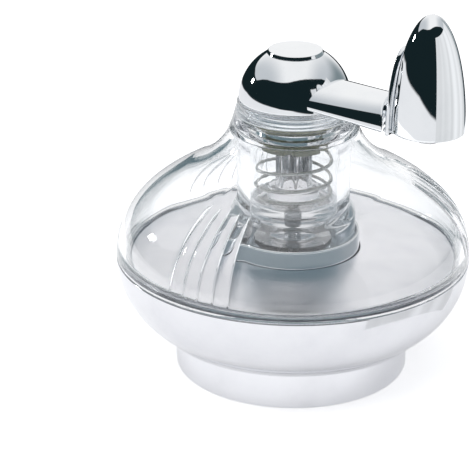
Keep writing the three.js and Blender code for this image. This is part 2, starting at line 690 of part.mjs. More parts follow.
// The arm's end is hollowed to follow the knob, and a short neck joins it to the saddle.
function crankArm() {
  const saddleRadius = KNOB_RADIUS + SADDLE_GAP + SADDLE_THICKNESS;
  const hollowRadius = saddleRadius + ARM_NECK_LENGTH;
  const bar = taperedBar(armSection(), [
    [0, armRootZ, ARM_ROOT_HALF_WIDTH, ARM_ROOT_HEIGHT],
    [ARM_END_REACH, armEndZ, ARM_END_HALF_WIDTH, ARM_END_HEIGHT],
  ]);
  const hollow = rod(hollowRadius, armEndZ - OVERSHOOT, armRootZ + 2 * ARM_END_HEIGHT, MIDDLE_FACETS);
  const neckZ = armEndZ + ARM_END_HEIGHT / 2;
  const neckStartX = KNOB_OFFSET - hollowRadius - OVERSHOOT;
  const neckEndX = KNOB_OFFSET - saddleRadius + SADDLE_THICKNESS / 2;
  const neck = levelRod(ARM_NECK_RADIUS, neckStartX, neckEndX, neckZ);
  return bar.subtract(placed(hollow, KNOB_OFFSET, 0)).add(neck);
}

function crankHandle() {
  const { outer, crownZ } = hubSolid();
  const arm = crankArm().add(placed(saddle(), KNOB_OFFSET, 0));
  const bore = pulledUp(flutedOutline(GAP), bushBottomZ, sleeveTopZ + OVERSHOOT);
  return outer.add(arm).subtract(hubHollow(crownZ)).subtract(bore);
}

function hubCap() {
  const { crownZ } = hubSolid();
  const bottom = crownZ - CAP_SEAT_DEPTH + GAP;
  const top = bottom + CAP_THICKNESS;
  return turned([
    [0, bottom], [CAP_RADIUS, bottom], [CAP_RADIUS, crownZ + GAP], [CAP_FLANGE_RADIUS, crownZ + GAP],
    [CAP_FLANGE_RADIUS - CAP_BEVEL, top], [0, top],
  ], MIDDLE_FACETS);
}

function retainingBush() {
  const body = ring(JOURNAL_END_RADIUS + GAP, BUSH_RADIUS, bushBottomZ, bushTopZ, MIDDLE_FACETS);
  const notch = () => {
    const inner = BUSH_RADIUS - BUSH_NOTCH_DEPTH;
    const half = BUSH_NOTCH_WIDTH / 2;
    const outer = BUSH_RADIUS + OVERSHOOT;
    const outline = [v2(inner, -half), v2(outer, -half), v2(outer, half), v2(inner, half)];
    return pulledUp(outline, bushBottomZ - OVERSHOOT, bushTopZ + OVERSHOOT);
  };
  return cutAll(body, around(BUSH_NOTCHES, notch));
}

// Knob: it spins on a pin fixed to the saddle

function knob() {
  const cavityTop = knobZ + KNOB_BUSH_LENGTH + KNOB_CAVITY_SPARE;
  const rows = Array.from({ length: 2 * CURVE_STEPS }, (_, i) => {
    const angle = (Math.PI / 2) * (i / (2 * CURVE_STEPS));
    return [KNOB_RADIUS * Math.cos(angle), knobZ + KNOB_HEIGHT * Math.sin(angle)];
  });
  return turned([
    [0, cavityTop], [knobCavityRadius, cavityTop], [knobCavityRadius, knobZ],
    [KNOB_RADIUS - KNOB_EDGE, knobZ], [KNOB_RADIUS, knobZ + KNOB_EDGE],
    ...rows.slice(1), [0, knobZ + KNOB_HEIGHT],
  ], MIDDLE_FACETS);
}

// The bush snaps over the pin: a rib inside it runs in the pin's groove.
const pinGrooveZ = knobZ + KNOB_BUSH_LENGTH - PIN_GROOVE_DROP;

function knobBush() {
  const bore = PIN_RADIUS + GAP;
  const bottom = knobZ + GAP;
  const ribBottom = pinGrooveZ + GAP;
  const ribTop = pinGrooveZ + PIN_GROOVE_HEIGHT - GAP;
  return turned([
    [bore, bottom], [KNOB_BUSH_RADIUS, bottom], [KNOB_BUSH_RADIUS, knobZ + KNOB_BUSH_LENGTH],
    [bore, knobZ + KNOB_BUSH_LENGTH], [bore, ribTop], [bore - PIN_GROOVE_DEPTH, ribTop],
    [bore - PIN_GROOVE_DEPTH, ribBottom], [bore, ribBottom],
  ], SMALL_FACETS);
}

function knobPin() {
  const headTop = tabBottomZ - GAP;
  const root = PIN_RADIUS - PIN_GROOVE_DEPTH;
  return turned([
    [0, headTop - PIN_HEAD_HEIGHT], [PIN_HEAD_RADIUS, headTop - PIN_HEAD_HEIGHT],
    [PIN_HEAD_RADIUS, headTop], [PIN_RADIUS, headTop], [PIN_RADIUS, pinGrooveZ], [root, pinGrooveZ],
    [root, pinGrooveZ + PIN_GROOVE_HEIGHT], [PIN_RADIUS, pinGrooveZ + PIN_GROOVE_HEIGHT],
    [PIN_RADIUS, knobZ + KNOB_BUSH_LENGTH], [0, knobZ + KNOB_BUSH_LENGTH],
  ], SMALL_FACETS);
}

// Plunger: it slides in the crank's sleeve and turns with it

function plunger() {
  const bossTop = collarTopZ + BOSS_HEIGHT;
  const body = turned([
    [0, plungerBottomZ], [PLUNGER_NECK_RADIUS, plungerBottomZ], [PLUNGER_NECK_RADIUS, collarZ],
    [collarRadius, collarZ], [collarRadius, collarTopZ], [BOSS_RADIUS, collarTopZ],
    [BOSS_RADIUS, bossTop], [0, bossTop],
  ], MIDDLE_FACETS);
  const stem = pulledUp(flutedOutline(0), bossTop - OVERSHOOT, sleeveTopZ);
  const lowHoleTop = clawZ + CLAW_SCREW_LENGTH + GAP;
  const lowHole = rod(CLAW_SCREW_RADIUS + GAP, plungerBottomZ - OVERSHOOT, lowHoleTop, SCREW_FACETS);
  const topHoleBottom = sleeveTopZ - STOP_SCREW_LENGTH;
  const topHole = rod(STOP_SCREW_RADIUS + GAP, topHoleBottom, sleeveTopZ + OVERSHOOT, SCREW_FACETS);
  return body.add(stem).subtract(lowHole).subtract(topHole);
}

function clawPlate() {
  const plate = ring(CLAW_SCREW_RADIUS + GAP, CLAW_RADIUS, clawZ, clawZ + CLAW_THICKNESS, SMALL_FACETS);
  const tip = clawZ - SPIKE_LENGTH;
  const rootZ = clawZ + GAP;
  const spike = () => placed(
    turned([[0, tip], [SPIKE_TIP_RADIUS, tip], [SPIKE_RADIUS, rootZ], [0, rootZ]], SCREW_FACETS),
    0,
    SPIKE_CIRCLE,
  );
  return joinAll(plate, around(SPIKE_COUNT, spike));
}

function clawScrew() {
  return screw(CLAW_SCREW_RADIUS, CLAW_SCREW_HEAD, LOW_HEAD_HEIGHT, clawZ - GAP, clawZ + CLAW_SCREW_LENGTH);
}

function stopWasher() {
  const bottom = sleeveTopZ + GAP;
  const top = bottom + STOP_WASHER_THICKNESS;
  return ring(STOP_SCREW_RADIUS + GAP, STOP_WASHER_RADIUS, bottom, top, SMALL_FACETS);
}

function stopScrew() {
  const headZ = sleeveTopZ + STOP_WASHER_THICKNESS + 2 * GAP;
  const tipZ = sleeveTopZ - STOP_SCREW_LENGTH + GAP;
  return screw(STOP_SCREW_RADIUS, STOP_SCREW_HEAD, LOW_HEAD_HEIGHT, headZ, tipZ);
}

// Spring: one unbroken wire that rests flat on the collar and winds in round the stem at its top

function springPoint(t) {
  const bottom = collarTopZ + GAP + SPRING_WIRE / 2;
  const top = bushBottomZ - GAP - SPRING_WIRE / 2;
  const angle = radians(SPRING_FIRST_ANGLE + 360 * SPRING_TURNS * t);
  const windIn = THREE.MathUtils.smoothstep(t, SPRING_WIND_IN_START, 1);
  const radius = THREE.MathUtils.lerp(SPRING_RADIUS, SPRING_TOP_RADIUS, windIn);
  return new THREE.Vector3(
    radius * Math.cos(angle),
    radius * Math.sin(angle),
    THREE.MathUtils.lerp(bottom, top, t ** SPRING_RISE_POWER),
  );
}

function plungerSpring() {
  const steps = Math.round(SPRING_TURNS * SPRING_STEPS_PER_TURN);
  const centres = Array.from({ length: steps + 1 }, (_, i) => springPoint(i / steps));
  const positions = [];
  const faces = [];
  centres.forEach((centre, i) => {
    const outward = new THREE.Vector3(centre.x, centre.y, 0).normalize();
    for (let k = 0; k < SPRING_SIDES; k += 1) {
      const angle = (2 * Math.PI * k) / SPRING_SIDES;
      const radius = SPRING_WIRE / 2;
      positions.push(
        centre.x + radius * Math.cos(angle) * outward.x,
        centre.y + radius * Math.cos(angle) * outward.y,
        centre.z - radius * Math.sin(angle),
      );
      if (i < steps) {
        const a = i * SPRING_SIDES + k;
        const b = i * SPRING_SIDES + ((k + 1) % SPRING_SIDES);
        faces.push(a, b, a + SPRING_SIDES, b, b + SPRING_SIDES, a + SPRING_SIDES);
      }
    }
  });
  const last = steps * SPRING_SIDES;
  for (let k = 1; k < SPRING_SIDES - 1; k += 1) {
    faces.push(0, k + 1, k, last, last + k, last + k + 1);
  }
  const geometry = new THREE.BufferGeometry();
  geometry.setAttribute('position', new THREE.Float32BufferAttribute(positions, 3));
  geometry.setIndex(faces);
  reportSpringGap(centres);
  return toSolid(geometry);
}

// The least gap between turns, measured between the wire's points that lie more than half a turn apart.
function reportSpringGap(centres) {
  let least = Infinity;
  const apart = SPRING_STEPS_PER_TURN / 2;
  centres.forEach((p, i) => {
    centres.slice(i + apart + 1).forEach((q) => {
      least = Math.min(least, p.distanceTo(q) - SPRING_WIRE);
    });
  });
  console.log(`spring: least gap between turns ${least.toFixed(2)} mm`);
}

// Finishes

const finish = (color, roughness, metalness, opacity = 1) => new THREE.MeshStandardMaterial({
  color: new THREE.Color(...color),
  roughness,
  metalness,
  opacity,
  transparent: opacity < 1,
});

const chrome = () => finish([0.86, 0.87, 0.88], 0.08, 1);
const deckMetal = () => finish([0.86, 0.87, 0.88], 0.2, 1);
const steel = () => finish([0.62, 0.62, 0.62], 0.35, 1);
const springWire = () => finish([0.55, 0.55, 0.53], 0.3, 1);
const clearPlastic = () => finish([0.92, 0.93, 0.94], 0.06, 0, 0.35);
const nylon = () => finish([0.80, 0.80, 0.62], 0.45, 0);

function addPiece(group, name, solid, material) {
  const mesh = new THREE.Mesh(toGeometry(solid), material);
  mesh.name = name;
  group.add(mesh);
  return mesh;
}

// Assembly

const base = new THREE.Group();
addPiece(base, 'foot_ring', footRing(), chrome());
addPiece(base, 'base_bowl', baseBowl(), chrome());
addPiece(base, 'storage_deck', storageDeck(), deckMetal());
addPiece(base, 'chamber_cup', chamberCup(), chrome());
addPiece(base, 'grater_disc', graterDisc(), steel());
around(SCREW_COUNT, footScrew, FOOT_SCREW_ANGLE).forEach((solid, i) => {
  addPiece(base, `foot_screw_${i + 1}`, solid, steel());
});
around(SCREW_COUNT, graterScrew, GRATER_SCREW_ANGLE).forEach((solid, i) => {
  addPiece(base, `grater_screw_${i + 1}`, solid, steel());
});

const upper = new THREE.Group();
addPiece(upper, 'clear_body', clearBody(), clearPlastic());
addPiece(upper, 'bearing_washer', bearingWasher(), nylon());

const crank = new THREE.Group();
crank.rotation.z = radians(CRANK_ANGLE);
addPiece(crank, 'crank_handle', crankHandle(), chrome());
addPiece(crank, 'hub_cap', hubCap(), chrome());
addPiece(crank, 'retaining_bush', retainingBush(), nylon());
const knobMount = new THREE.Group();
knobMount.position.x = KNOB_OFFSET;
addPiece(knobMount, 'knob_pin', knobPin(), steel());
addPiece(knobMount, 'knob', knob(), chrome());
addPiece(knobMount, 'knob_bush', knobBush(), nylon());
crank.add(knobMount);

const plungerGroup = new THREE.Group();
plungerGroup.rotation.z = radians(CRANK_ANGLE);
addPiece(plungerGroup, 'plunger', plunger(), clearPlastic());
addPiece(plungerGroup, 'claw_plate', clawPlate(), steel());
addPiece(plungerGroup, 'claw_screw', clawScrew(), steel());
addPiece(plungerGroup, 'stop_washer', stopWasher(), steel());
addPiece(plungerGroup, 'stop_screw', stopScrew(), steel());

const grater = new THREE.Group();
grater.add(base, upper, crank, plungerGroup);
addPiece(grater, 'plunger_spring', plungerSpring(), springWire());

export default grater;
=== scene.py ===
# %% [markdown]
# # A hand-cranked spice grater
# This lesson dresses a packed CAD model of a small grater: a polished base, a clear moulded body with a tube
# in its middle, and a plated crank with a bullet-shaped knob. The CAD model fixes every place and size. Each
# surface below is worked out with numpy from the real shape of the piece, and each finish is built from
# nodes.

# %% Load the frame
import math

import bpy
import numpy as np
from mathutils import Matrix


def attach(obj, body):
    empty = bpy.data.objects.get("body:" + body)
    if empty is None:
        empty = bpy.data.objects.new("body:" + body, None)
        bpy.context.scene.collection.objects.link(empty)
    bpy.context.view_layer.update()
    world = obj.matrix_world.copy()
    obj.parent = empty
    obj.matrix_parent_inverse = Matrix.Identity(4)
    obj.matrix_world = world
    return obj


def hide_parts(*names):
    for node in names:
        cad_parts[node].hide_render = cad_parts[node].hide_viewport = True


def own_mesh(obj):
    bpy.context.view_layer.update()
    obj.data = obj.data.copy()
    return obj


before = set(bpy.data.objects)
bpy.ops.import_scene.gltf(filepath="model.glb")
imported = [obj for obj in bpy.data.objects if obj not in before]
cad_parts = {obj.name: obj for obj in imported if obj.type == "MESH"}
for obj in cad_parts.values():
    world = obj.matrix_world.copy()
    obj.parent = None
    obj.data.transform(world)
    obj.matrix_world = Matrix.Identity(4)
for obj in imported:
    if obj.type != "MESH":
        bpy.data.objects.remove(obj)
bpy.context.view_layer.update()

MM = 0.001

# %% [markdown]
# ## Camera
# The object was photographed from a little above. A long lens about 0.6 m away keeps the seam's ellipse and
# the height of the dome in the same proportion as they are seen. The numbers come from fitting the seam, the
# foot and the dome.

# %% Camera
CAMERA_PLACE = (-0.01555, -0.55336, 0.26826)
CAMERA_LOOKS_DOWN = math.radians(22.74)
CAMERA_ROLL = math.radians(0.23)
LENS_MM = 170.64

camera_data = bpy.data.cameras.new("photo_camera")
camera_data.sensor_width = 36
camera_data.lens = LENS_MM
camera_data.clip_end = 20
camera = bpy.data.objects.new("photo_camera", camera_data)
bpy.context.scene.collection.objects.link(camera)
camera.matrix_world = (
    Matrix.Translation(CAMERA_PLACE)
    @ Matrix.Rotation(math.pi / 2 - CAMERA_LOOKS_DOWN, 4, "X")
    @ Matrix.Rotation(CAMERA_ROLL, 4, "Z")
)
bpy.context.scene.camera = camera
bpy.context.scene.view_settings.view_transform = "Standard"
bpy.context.scene.cycles.max_bounces = 64
bpy.context.scene.cycles.glossy_bounces = 48
bpy.context.scene.cycles.transmission_bounces = 48
print("camera", tuple(round(x, 4) for x in camera.location), "lens", LENS_MM)


# %% [markdown]
# ## Wiring nodes
# Materials here are node trees. This small helper adds a node, sets its values and links its sockets in one
# line, so that a finish reads like a list of what it is made of.

# %% Node helper
class Wiring:
    """Adds nodes to a tree. A number goes on a socket, and a socket is linked to it."""

    def __init__(self, tree):
        self.tree = tree

    def add(self, kind, *values, out=0, named=None, **settings):
        """Makes one node and returns its output number out.

        Values fill its inputs in order, named fills them by name or number, and settings are its own
        properties."""
        node = self.tree.nodes.new("ShaderNode" + kind)
        for key, value in settings.items():
            setattr(node, key, value)
        pairs = list(zip(node.inputs, values)) + [(node.inputs[k], v) for k, v in (named or {}).items()]
        for socket, value in pairs:
            if isinstance(value, bpy.types.NodeSocket):
                self.tree.links.new(value, socket)
            elif value is not None:
                socket.default_value = value
        return node.outputs[out]

    def math(self, operation, *values):
        """One step of arithmetic on numbers or sockets."""
        return self.add("Math", *values, operation=operation)

    def place(self):
        """The point that is shaded, in the object's own coordinates, which are output 3."""
        return self.add("TexCoord", out=3)

    def colours(self, share, first, second):
        """A mix of two colours by share. Inputs 6 and 7 and output 2 are a Mix node's colours."""
        return self.add("Mix", named={0: share, 6: first, 7: second}, out=2, data_type="RGBA")

    def ramp(self, value, low, high, to_low=0.0, to_high=1.0):
        """Carries value from one range into another, smoothly and without going past its ends."""
        return self.add("MapRange", value, low, high, to_low, to_high, interpolation_type="SMOOTHSTEP")

print("the node helper has", [name for name in vars(Wiring) if not name.startswith("_")])


# %% [markdown]
# ## The studio
# Polished metal shows only what stands round it, so the room matters as much as the metal. The room is
# painted on the world: a pale ceiling, and a dark band of unlit room round the front and the sides whose top
# edge rises and falls. Seen through clear plastic that band is paler, and low on the right lies a cool shade.
# The table's far edge is painted too. Matt pieces get one even light from the world, and the camera sees
# plain white behind the object.

# %% Room painted on the world
# An edge is a list of points: degrees to the right of the camera's direction, and degrees above the horizon.
DARK_TOP = [
    (-180, -3), (-172, 4), (-165, 12), (-149, 15), (-130, 20), (-116, 21), (-106, 22), (-101, 26),
    (-94, 32), (-83, 38), (-65, 43), (-45, 47), (-25, 51), (-5, 56), (15, 58), (35, 57), (52, 53),
    (68, 47), (80, 41), (88, 31), (96, 14), (102, -30), (138, -30), (147, -7), (155, -3), (163, 0),
    (172, -1), (180, -3),
]
TABLE_EDGE = [
    (-180, -18), (-165, -13), (-153, -10), (-146, -8), (-130, -5), (-118, -3), (-60, -4), (-40, -5),
    (-20, -8), (0, -11), (20, -13), (60, -16), (100, -19), (180, -20),
]
EDGE_SOFTNESS = 0.8
ROOM_DARK = (0.008, 0.017, 0.020, 1)
ROOM_DARK_THROUGH_PLASTIC = (0.16, 0.23, 0.26, 1)
ROOM_SHADE = (0.22, 0.27, 0.29, 1)
ROOM_PALE = (1.0, 1.0, 1.0, 1)
ROOM_GREY = (0.60, 0.63, 0.66, 1)
ROOM_TABLE = (0.90, 0.91, 0.93, 1)
LIGHT_ON_MATT = (0.80, 0.81, 0.83, 1)

world = bpy.data.worlds.new("studio")
bpy.context.scene.world = world
world.use_nodes = True
world.node_tree.nodes.clear()
room = Wiring(world.node_tree)
direction = room.add("TexCoord")
split = room.add("SeparateXYZ", direction).node
side, depth, height = split.outputs
azimuth = room.math("ARCTAN2", side, room.math("MULTIPLY", depth, -1.0))
degrees_up = room.math("DEGREES", room.math("ARCSINE", height))
turn = room.math("MULTIPLY_ADD", azimuth, 0.5 / math.pi, 0.5)

def share_above(points):
    """How far a direction is above an edge, from 0 to 1.

    A colour ramp holds the edge's height as (degrees + 90) / 180."""
    edge = room.add("ValToRGB", turn).node
    while len(edge.color_ramp.elements) < len(points):
        edge.color_ramp.elements.new(0.5)
    for stop, (degrees, top) in zip(edge.color_ramp.elements, points):
        stop.position = degrees / 360 + 0.5
        level = top / 180 + 0.5
        stop.color = (level, level, level, 1)
    edge_height = room.math("MULTIPLY_ADD", edge.outputs[0], 180.0, -90.0)
    return room.ramp(room.math("SUBTRACT", degrees_up, edge_height), -EDGE_SOFTNESS, EDGE_SOFTNESS)

path = room.add("LightPath").node
to_the_side = room.ramp(room.math("ABSOLUTE", side), 0.25, 0.75)
ceiling = room.colours(to_the_side, ROOM_PALE, ROOM_GREY)
unlit = room.colours(path.outputs["Is Transmission Ray"], ROOM_DARK, ROOM_DARK_THROUGH_PLASTIC)
to_the_right = room.math("MULTIPLY", room.ramp(side, 0.3, 0.8), room.ramp(degrees_up, 15.0, 38.0, 1.0, 0.0))
shaded = room.colours(to_the_right, ceiling, ROOM_SHADE)
walls = room.colours(share_above(DARK_TOP), unlit, shaded)
painted = room.colours(share_above(TABLE_EDGE), ROOM_TABLE, walls)
for_matt = room.colours(path.outputs["Is Diffuse Ray"], painted, LIGHT_ON_MATT)
seen = room.colours(path.outputs["Is Camera Ray"], for_matt, (1, 1, 1, 1))
background = room.add("Background", seen, 1.0)
world_output = world.node_tree.nodes.new("ShaderNodeOutputWorld")
world.node_tree.links.new(background, world_output.inputs["Surface"])
print("points on the dark part's edge:", len(DARK_TOP), "and on the table's:", len(TABLE_EDGE))

# %% [markdown]
# ## Surfaces of revolution
# Almost every piece here was turned, pressed or moulded round an axis. So the main tool is a profile of
# radius and height that is carried round the Z axis. Real edges are never knife sharp, so a second tool
# rounds the profile's corners before it is turned.

# %% Profile and surface helpers
def rounded(corners, steps=6):
    """Rounds a closed profile. Each corner is (radius, height, rounding).

    A corner P is left at A and joined again at B, both its rounding away along its two sides, and the
    points between are (1-s)^2 A + 2 s (1-s) P + s^2 B. One more point before A and one after B keep the
    shading of flat sides flat. So a corner becomes steps + 2 points."""
    corners = np.array(corners, float)
    p, size = corners[:, :2], corners[:, 2:3]
    before, after = np.roll(p, 1, 0) - p, np.roll(p, -1, 0) - p
    before /= np.linalg.norm(before, axis=1, keepdims=True)
    after /= np.linalg.norm(after, axis=1, keepdims=True)
    a, b = p + before * size, p + after * size
    s = np.linspace(0, 1, steps)[None, :, None]
    arc = (1 - s) ** 2 * a[:, None] + 2 * s * (1 - s) * p[:, None] + s**2 * b[:, None]
    lead = (p + before * size * 1.25)[:, None]
    trail = (p + after * size * 1.25)[:, None]
    return distinct(np.concatenate([lead, arc, trail], axis=1).reshape(-1, 2))


def distinct(points):
    """Drops each point that repeats the one before it."""
    step = np.linalg.norm(np.diff(points, axis=0, prepend=points[-1:] + 1), axis=1)
    return points[step > 1e-4]


def curve(p0, p1, p2, p3, steps):
    """A cubic Bezier curve: the four points weighted by (1-t)^3, 3t(1-t)^2, 3t^2(1-t) and t^3."""
    t = np.linspace(0, 1, steps)[:, None]
    p0, p1, p2, p3 = (np.array(p, float) for p in (p0, p1, p2, p3))
    return (1 - t) ** 3 * p0 + 3 * t * (1 - t) ** 2 * p1 + 3 * t**2 * (1 - t) * p2 + t**3 * p3


def offset(outline, distance):
    """Moves an outline square to itself, to its left."""
    along = np.gradient(outline, axis=0)
    along /= np.linalg.norm(along, axis=1, keepdims=True)
    left = np.stack([-along[:, 1], along[:, 0]], axis=1)
    return outline + left * distance


def half_ellipse(radius, bottom, height, start, end, steps):
    """Points (radius cos q, bottom + height sin q) while the radius goes from start to end."""
    q = np.linspace(math.acos(min(1, start / radius)), math.acos(min(1, end / radius)), steps)
    return np.stack([radius * np.cos(q), bottom + height * np.sin(q)], axis=1)


def round_angles(count):
    """Angles in radians, evenly round the circle."""
    return np.linspace(0, 2 * math.pi, count, endpoint=False)


def spin(profile, angles):
    """The grid of points (r cos a, r sin a, z) for each profile point and each angle a."""
    r, z = profile[:, :1], profile[:, 1:]
    return np.stack([r * np.cos(angles), r * np.sin(angles), z + 0 * angles], axis=-1)


def grid_faces(rows, columns, closed):
    """The four-cornered faces of a grid whose columns close on themselves, and whose rows do if closed."""
    row, column = np.meshgrid(np.arange(rows if closed else rows - 1), np.arange(columns), indexing="ij")
    below, beside = (row + 1) % rows, (column + 1) % columns
    here, under = row * columns, below * columns
    return np.stack([here + column, here + beside, under + beside, under + column], axis=-1).reshape(-1, 4)


def fan(first, centre, columns, turned_over):
    """Triangles from one ring of points to a single centre point."""
    ring = first + np.arange(columns)
    following = first + (np.arange(columns) + 1) % columns
    pair = (following, ring) if turned_over else (ring, following)
    return np.stack([pair[0], pair[1], np.full(columns, centre)], axis=1)


def put_mesh(name, points, faces):
    """Makes one smooth-shaded object from points in millimetres and faces, at the origin."""
    mesh = bpy.data.meshes.new(name)
    mesh.from_pydata((points * MM).tolist(), [], faces)
    mesh.polygons.foreach_set("use_smooth", np.ones(len(faces), bool))
    mesh.update()
    piece = bpy.data.objects.new(name, mesh)
    bpy.context.scene.collection.objects.link(piece)
    return piece


def skin(name, grid, closed=False):
    """Covers a grid of points whose rows are rings.

    Rows that don't close on themselves end in a fan to the middle of the first and of the last ring."""
    rows, columns = grid.shape[:2]
    points = grid.reshape(-1, 3)
    faces = grid_faces(rows, columns, closed).tolist()
    if not closed:
        points = np.concatenate([points, grid[0].mean(0)[None], grid[-1].mean(0)[None]])
        faces += fan(0, rows * columns, columns, True).tolist()
        faces += fan((rows - 1) * columns, rows * columns + 1, columns, False).tolist()
    return put_mesh(name, points, faces)


def turned(name, profile, angles=round_angles(192)):
    """A surface of revolution.

    A profile that starts and ends near the axis is closed there, and any other on itself."""
    open_ended = profile[0, 0] < 0.2 and profile[-1, 0] < 0.2
    return skin(name, spin(profile, angles), closed=not open_ended)


def finished(piece, material, body, slot, *nodes):
    """Gives a piece its finish and body, and hides the CAD nodes that it stands for. The slot is not used."""
    piece.data.materials.append(material)
    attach(piece, body)
    if nodes:
        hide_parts(*nodes)
    low, high = np.array(piece.bound_box).min(0) / MM, np.array(piece.bound_box).max(0) / MM
    print(f"{piece.name}: {len(piece.data.polygons)} faces, z {low[2]:.1f} to {high[2]:.1f} mm, on {body}")


# %% [markdown]
# ## Effects that several finishes share
# Handling leaves faint smudges, and moulding leaves slow waves. Each is a node group with named sockets, so
# that every finish can use it at its own scale.

# %% Shared effect: handling marks
def new_group(name, inputs, outputs):
    """A shader node group with number inputs and outputs, and its wiring, input node and output node."""
    group = bpy.data.node_groups.new(name, "ShaderNodeTree")
    for label, value in inputs.items():
        socket = group.interface.new_socket(label, in_out="INPUT", socket_type="NodeSocketFloat")
        socket.default_value = value
    for label in outputs:
        group.interface.new_socket(label, in_out="OUTPUT", socket_type="NodeSocketFloat")
    wiring = Wiring(group)
    start, end = group.nodes.new("NodeGroupInput"), group.nodes.new("NodeGroupOutput")
    return group, wiring, start, end


marks, wiring, start, end = new_group("handling_marks", {"Size": 60.0}, ["Smudge", "Scratch"])
place = wiring.place()
patch = wiring.add("TexNoise", named={
    "Vector": place, "Scale": start.outputs["Size"], "Detail": 5.0, "Roughness": 0.6,
})
stretched = wiring.add("Mapping", place, named={"Scale": (1.0, 1.0, 14.0), "Rotation": (0.5, 0.3, 0.0)})
fine = wiring.add("TexNoise", named={"Vector": stretched, "Scale": 900.0, "Detail": 3.0})
wiring.tree.links.new(wiring.ramp(patch, 0.42, 0.75), end.inputs["Smudge"])
wiring.tree.links.new(wiring.ramp(fine, 0.60, 0.72), end.inputs["Scratch"])
print("shared effect:", marks.name, "gives", end.inputs.keys()[:2])

# %% Shared effect: slow waves of a moulding
waves, wiring, start, end = new_group("moulding_waves", {"Size": 30.0}, ["Height", "Haze"])
place = wiring.place()
slow = wiring.add("TexNoise", named={"Vector": place, "Scale": start.outputs["Size"], "Detail": 1.0})
haze = wiring.add("TexNoise", named={"Vector": place, "Scale": 12.0, "Detail": 2.0})
wiring.tree.links.new(slow, end.inputs["Height"])
wiring.tree.links.new(haze, end.inputs["Haze"])
print("shared effect:", waves.name, "gives", end.inputs.keys()[:2])


def group_outputs(wiring, group, **values):
    """Places a shared effect in a material with its own values and returns its outputs."""
    node = wiring.tree.nodes.new("ShaderNodeGroup")
    node.node_tree = group
    for label, value in values.items():
        node.inputs[label].default_value = value
    return node.outputs


def new_material(name, **constants):
    """A material with one Principled shader. Constants go on the shader's own sockets."""
    material = bpy.data.materials.new(name)
    material.use_nodes = True
    shader = material.node_tree.nodes["Principled BSDF"]
    for label, value in constants.items():
        shader.inputs[label.replace("_", " ")].default_value = value
    return material, Wiring(material.node_tree), shader


# %% [markdown]
# ## Plated metal
# The crank and the base are plated: bright nickel under a thin layer of chromium. The layer is a cool mirror,
# so it gets a high metallic value, a very low roughness and a colour a little below white. Smudges dull it
# slightly. The cast crank is the sleekest, the spun bowl, the foot and the cup are a little softer, and the
# deck has a satin face. The same wiring with a darker, rougher metal makes the bare steel of the blade, the
# screws and the wire.

# %% Plated finish
SCRATCH_DEPTH = 0.00002

def plated(name, bright, dull, sleek, rough, smudge_size=60.0, scratches=0.05):
    """Metal that smudges carry from bright to dull in colour and from sleek to rough in roughness."""
    material, wiring, shader = new_material(name, Metallic=1.0)
    mark = group_outputs(wiring, marks, Size=smudge_size)
    colour = wiring.colours(mark["Smudge"], (*bright, 1), (*dull, 1))
    wiring.tree.links.new(colour, shader.inputs["Base Color"])
    roughness = wiring.ramp(mark["Smudge"], 0.0, 1.0, sleek, rough)
    wiring.tree.links.new(roughness, shader.inputs["Roughness"])
    bump = wiring.add("Bump", named={
        "Strength": scratches, "Distance": SCRATCH_DEPTH, "Height": mark["Scratch"],
    })
    wiring.tree.links.new(bump, shader.inputs["Normal"])
    return material


mirror_chrome = plated(
    "mirror_chrome", (0.87, 0.885, 0.90), (0.81, 0.83, 0.85), 0.015, 0.07, scratches=0.01,
)
bowl_chrome = plated("bowl_chrome", (0.77, 0.775, 0.80), (0.72, 0.725, 0.755), 0.10, 0.16)
# The foot's plating is painted brighter than the bowl's. This is painted light that offsets the shadowed
# table the foot mirrors.
foot_chrome_painted_light = plated("foot_chrome_painted_light", (0.88, 0.885, 0.91), (0.83, 0.835, 0.86), 0.10, 0.16)
cup_chrome = plated("cup_chrome", (0.93, 0.935, 0.95), (0.87, 0.88, 0.89), 0.08, 0.14)
deck_metal = plated("deck_metal", (0.92, 0.915, 0.94), (0.87, 0.865, 0.90), 0.29, 0.35, 90.0, 0.01)
tool_steel = plated("tool_steel", (0.56, 0.56, 0.57), (0.42, 0.42, 0.43), 0.22, 0.38, 160.0)
wire_steel = plated("wire_steel", (0.55, 0.55, 0.53), (0.40, 0.40, 0.38), 0.20, 0.34, 220.0)
print("finishes:", [m.name for m in (mirror_chrome, bowl_chrome, foot_chrome_painted_light, cup_chrome, deck_metal)])

# %% [markdown]
# ## Clear plastic
# The body and the plunger are moulded in a glass-clear plastic. Its index of refraction bends what is behind
# it, and slow moulding waves make the reflections of the room ragged. The polished outside of the body is
# nearly flat, and the waves are mainly on its inside, so each point of a mesh carries its own share of them.

# %% Clear finish
def clear_plastic(name, tint, shade, wave_size, wave_depth):
    """Transparent plastic whose colour drifts between tint and shade, with slow waves of wave_depth metres.

    The depth is multiplied by the mesh's "wavy", which output 2 of an Attribute node reads as a number."""
    material, wiring, shader = new_material(name, Transmission_Weight=1.0, IOR=1.49)
    wave = group_outputs(wiring, waves, Size=wave_size)
    mark = group_outputs(wiring, marks, Size=45.0)
    colour = wiring.colours(wave["Haze"], (*tint, 1), (*shade, 1))
    wiring.tree.links.new(colour, shader.inputs["Base Color"])
    wiring.tree.links.new(wiring.ramp(mark["Smudge"], 0.0, 1.0, 0.0, 0.03), shader.inputs["Roughness"])
    wavy = wiring.math("MULTIPLY", wave["Height"], wiring.add("Attribute", out=2, attribute_name="wavy"))
    bump = wiring.add("Bump", named={"Strength": 1.0, "Distance": wave_depth, "Height": wavy})
    wiring.tree.links.new(bump, shader.inputs["Normal"])
    return material


def set_waviness(piece, amounts):
    """Writes the share of the plastic's waves that each point of a mesh gets, from 0 to 1."""
    wavy = piece.data.attributes.new("wavy", "FLOAT", "POINT")
    wavy.data.foreach_set("value", np.array(amounts, np.float32))


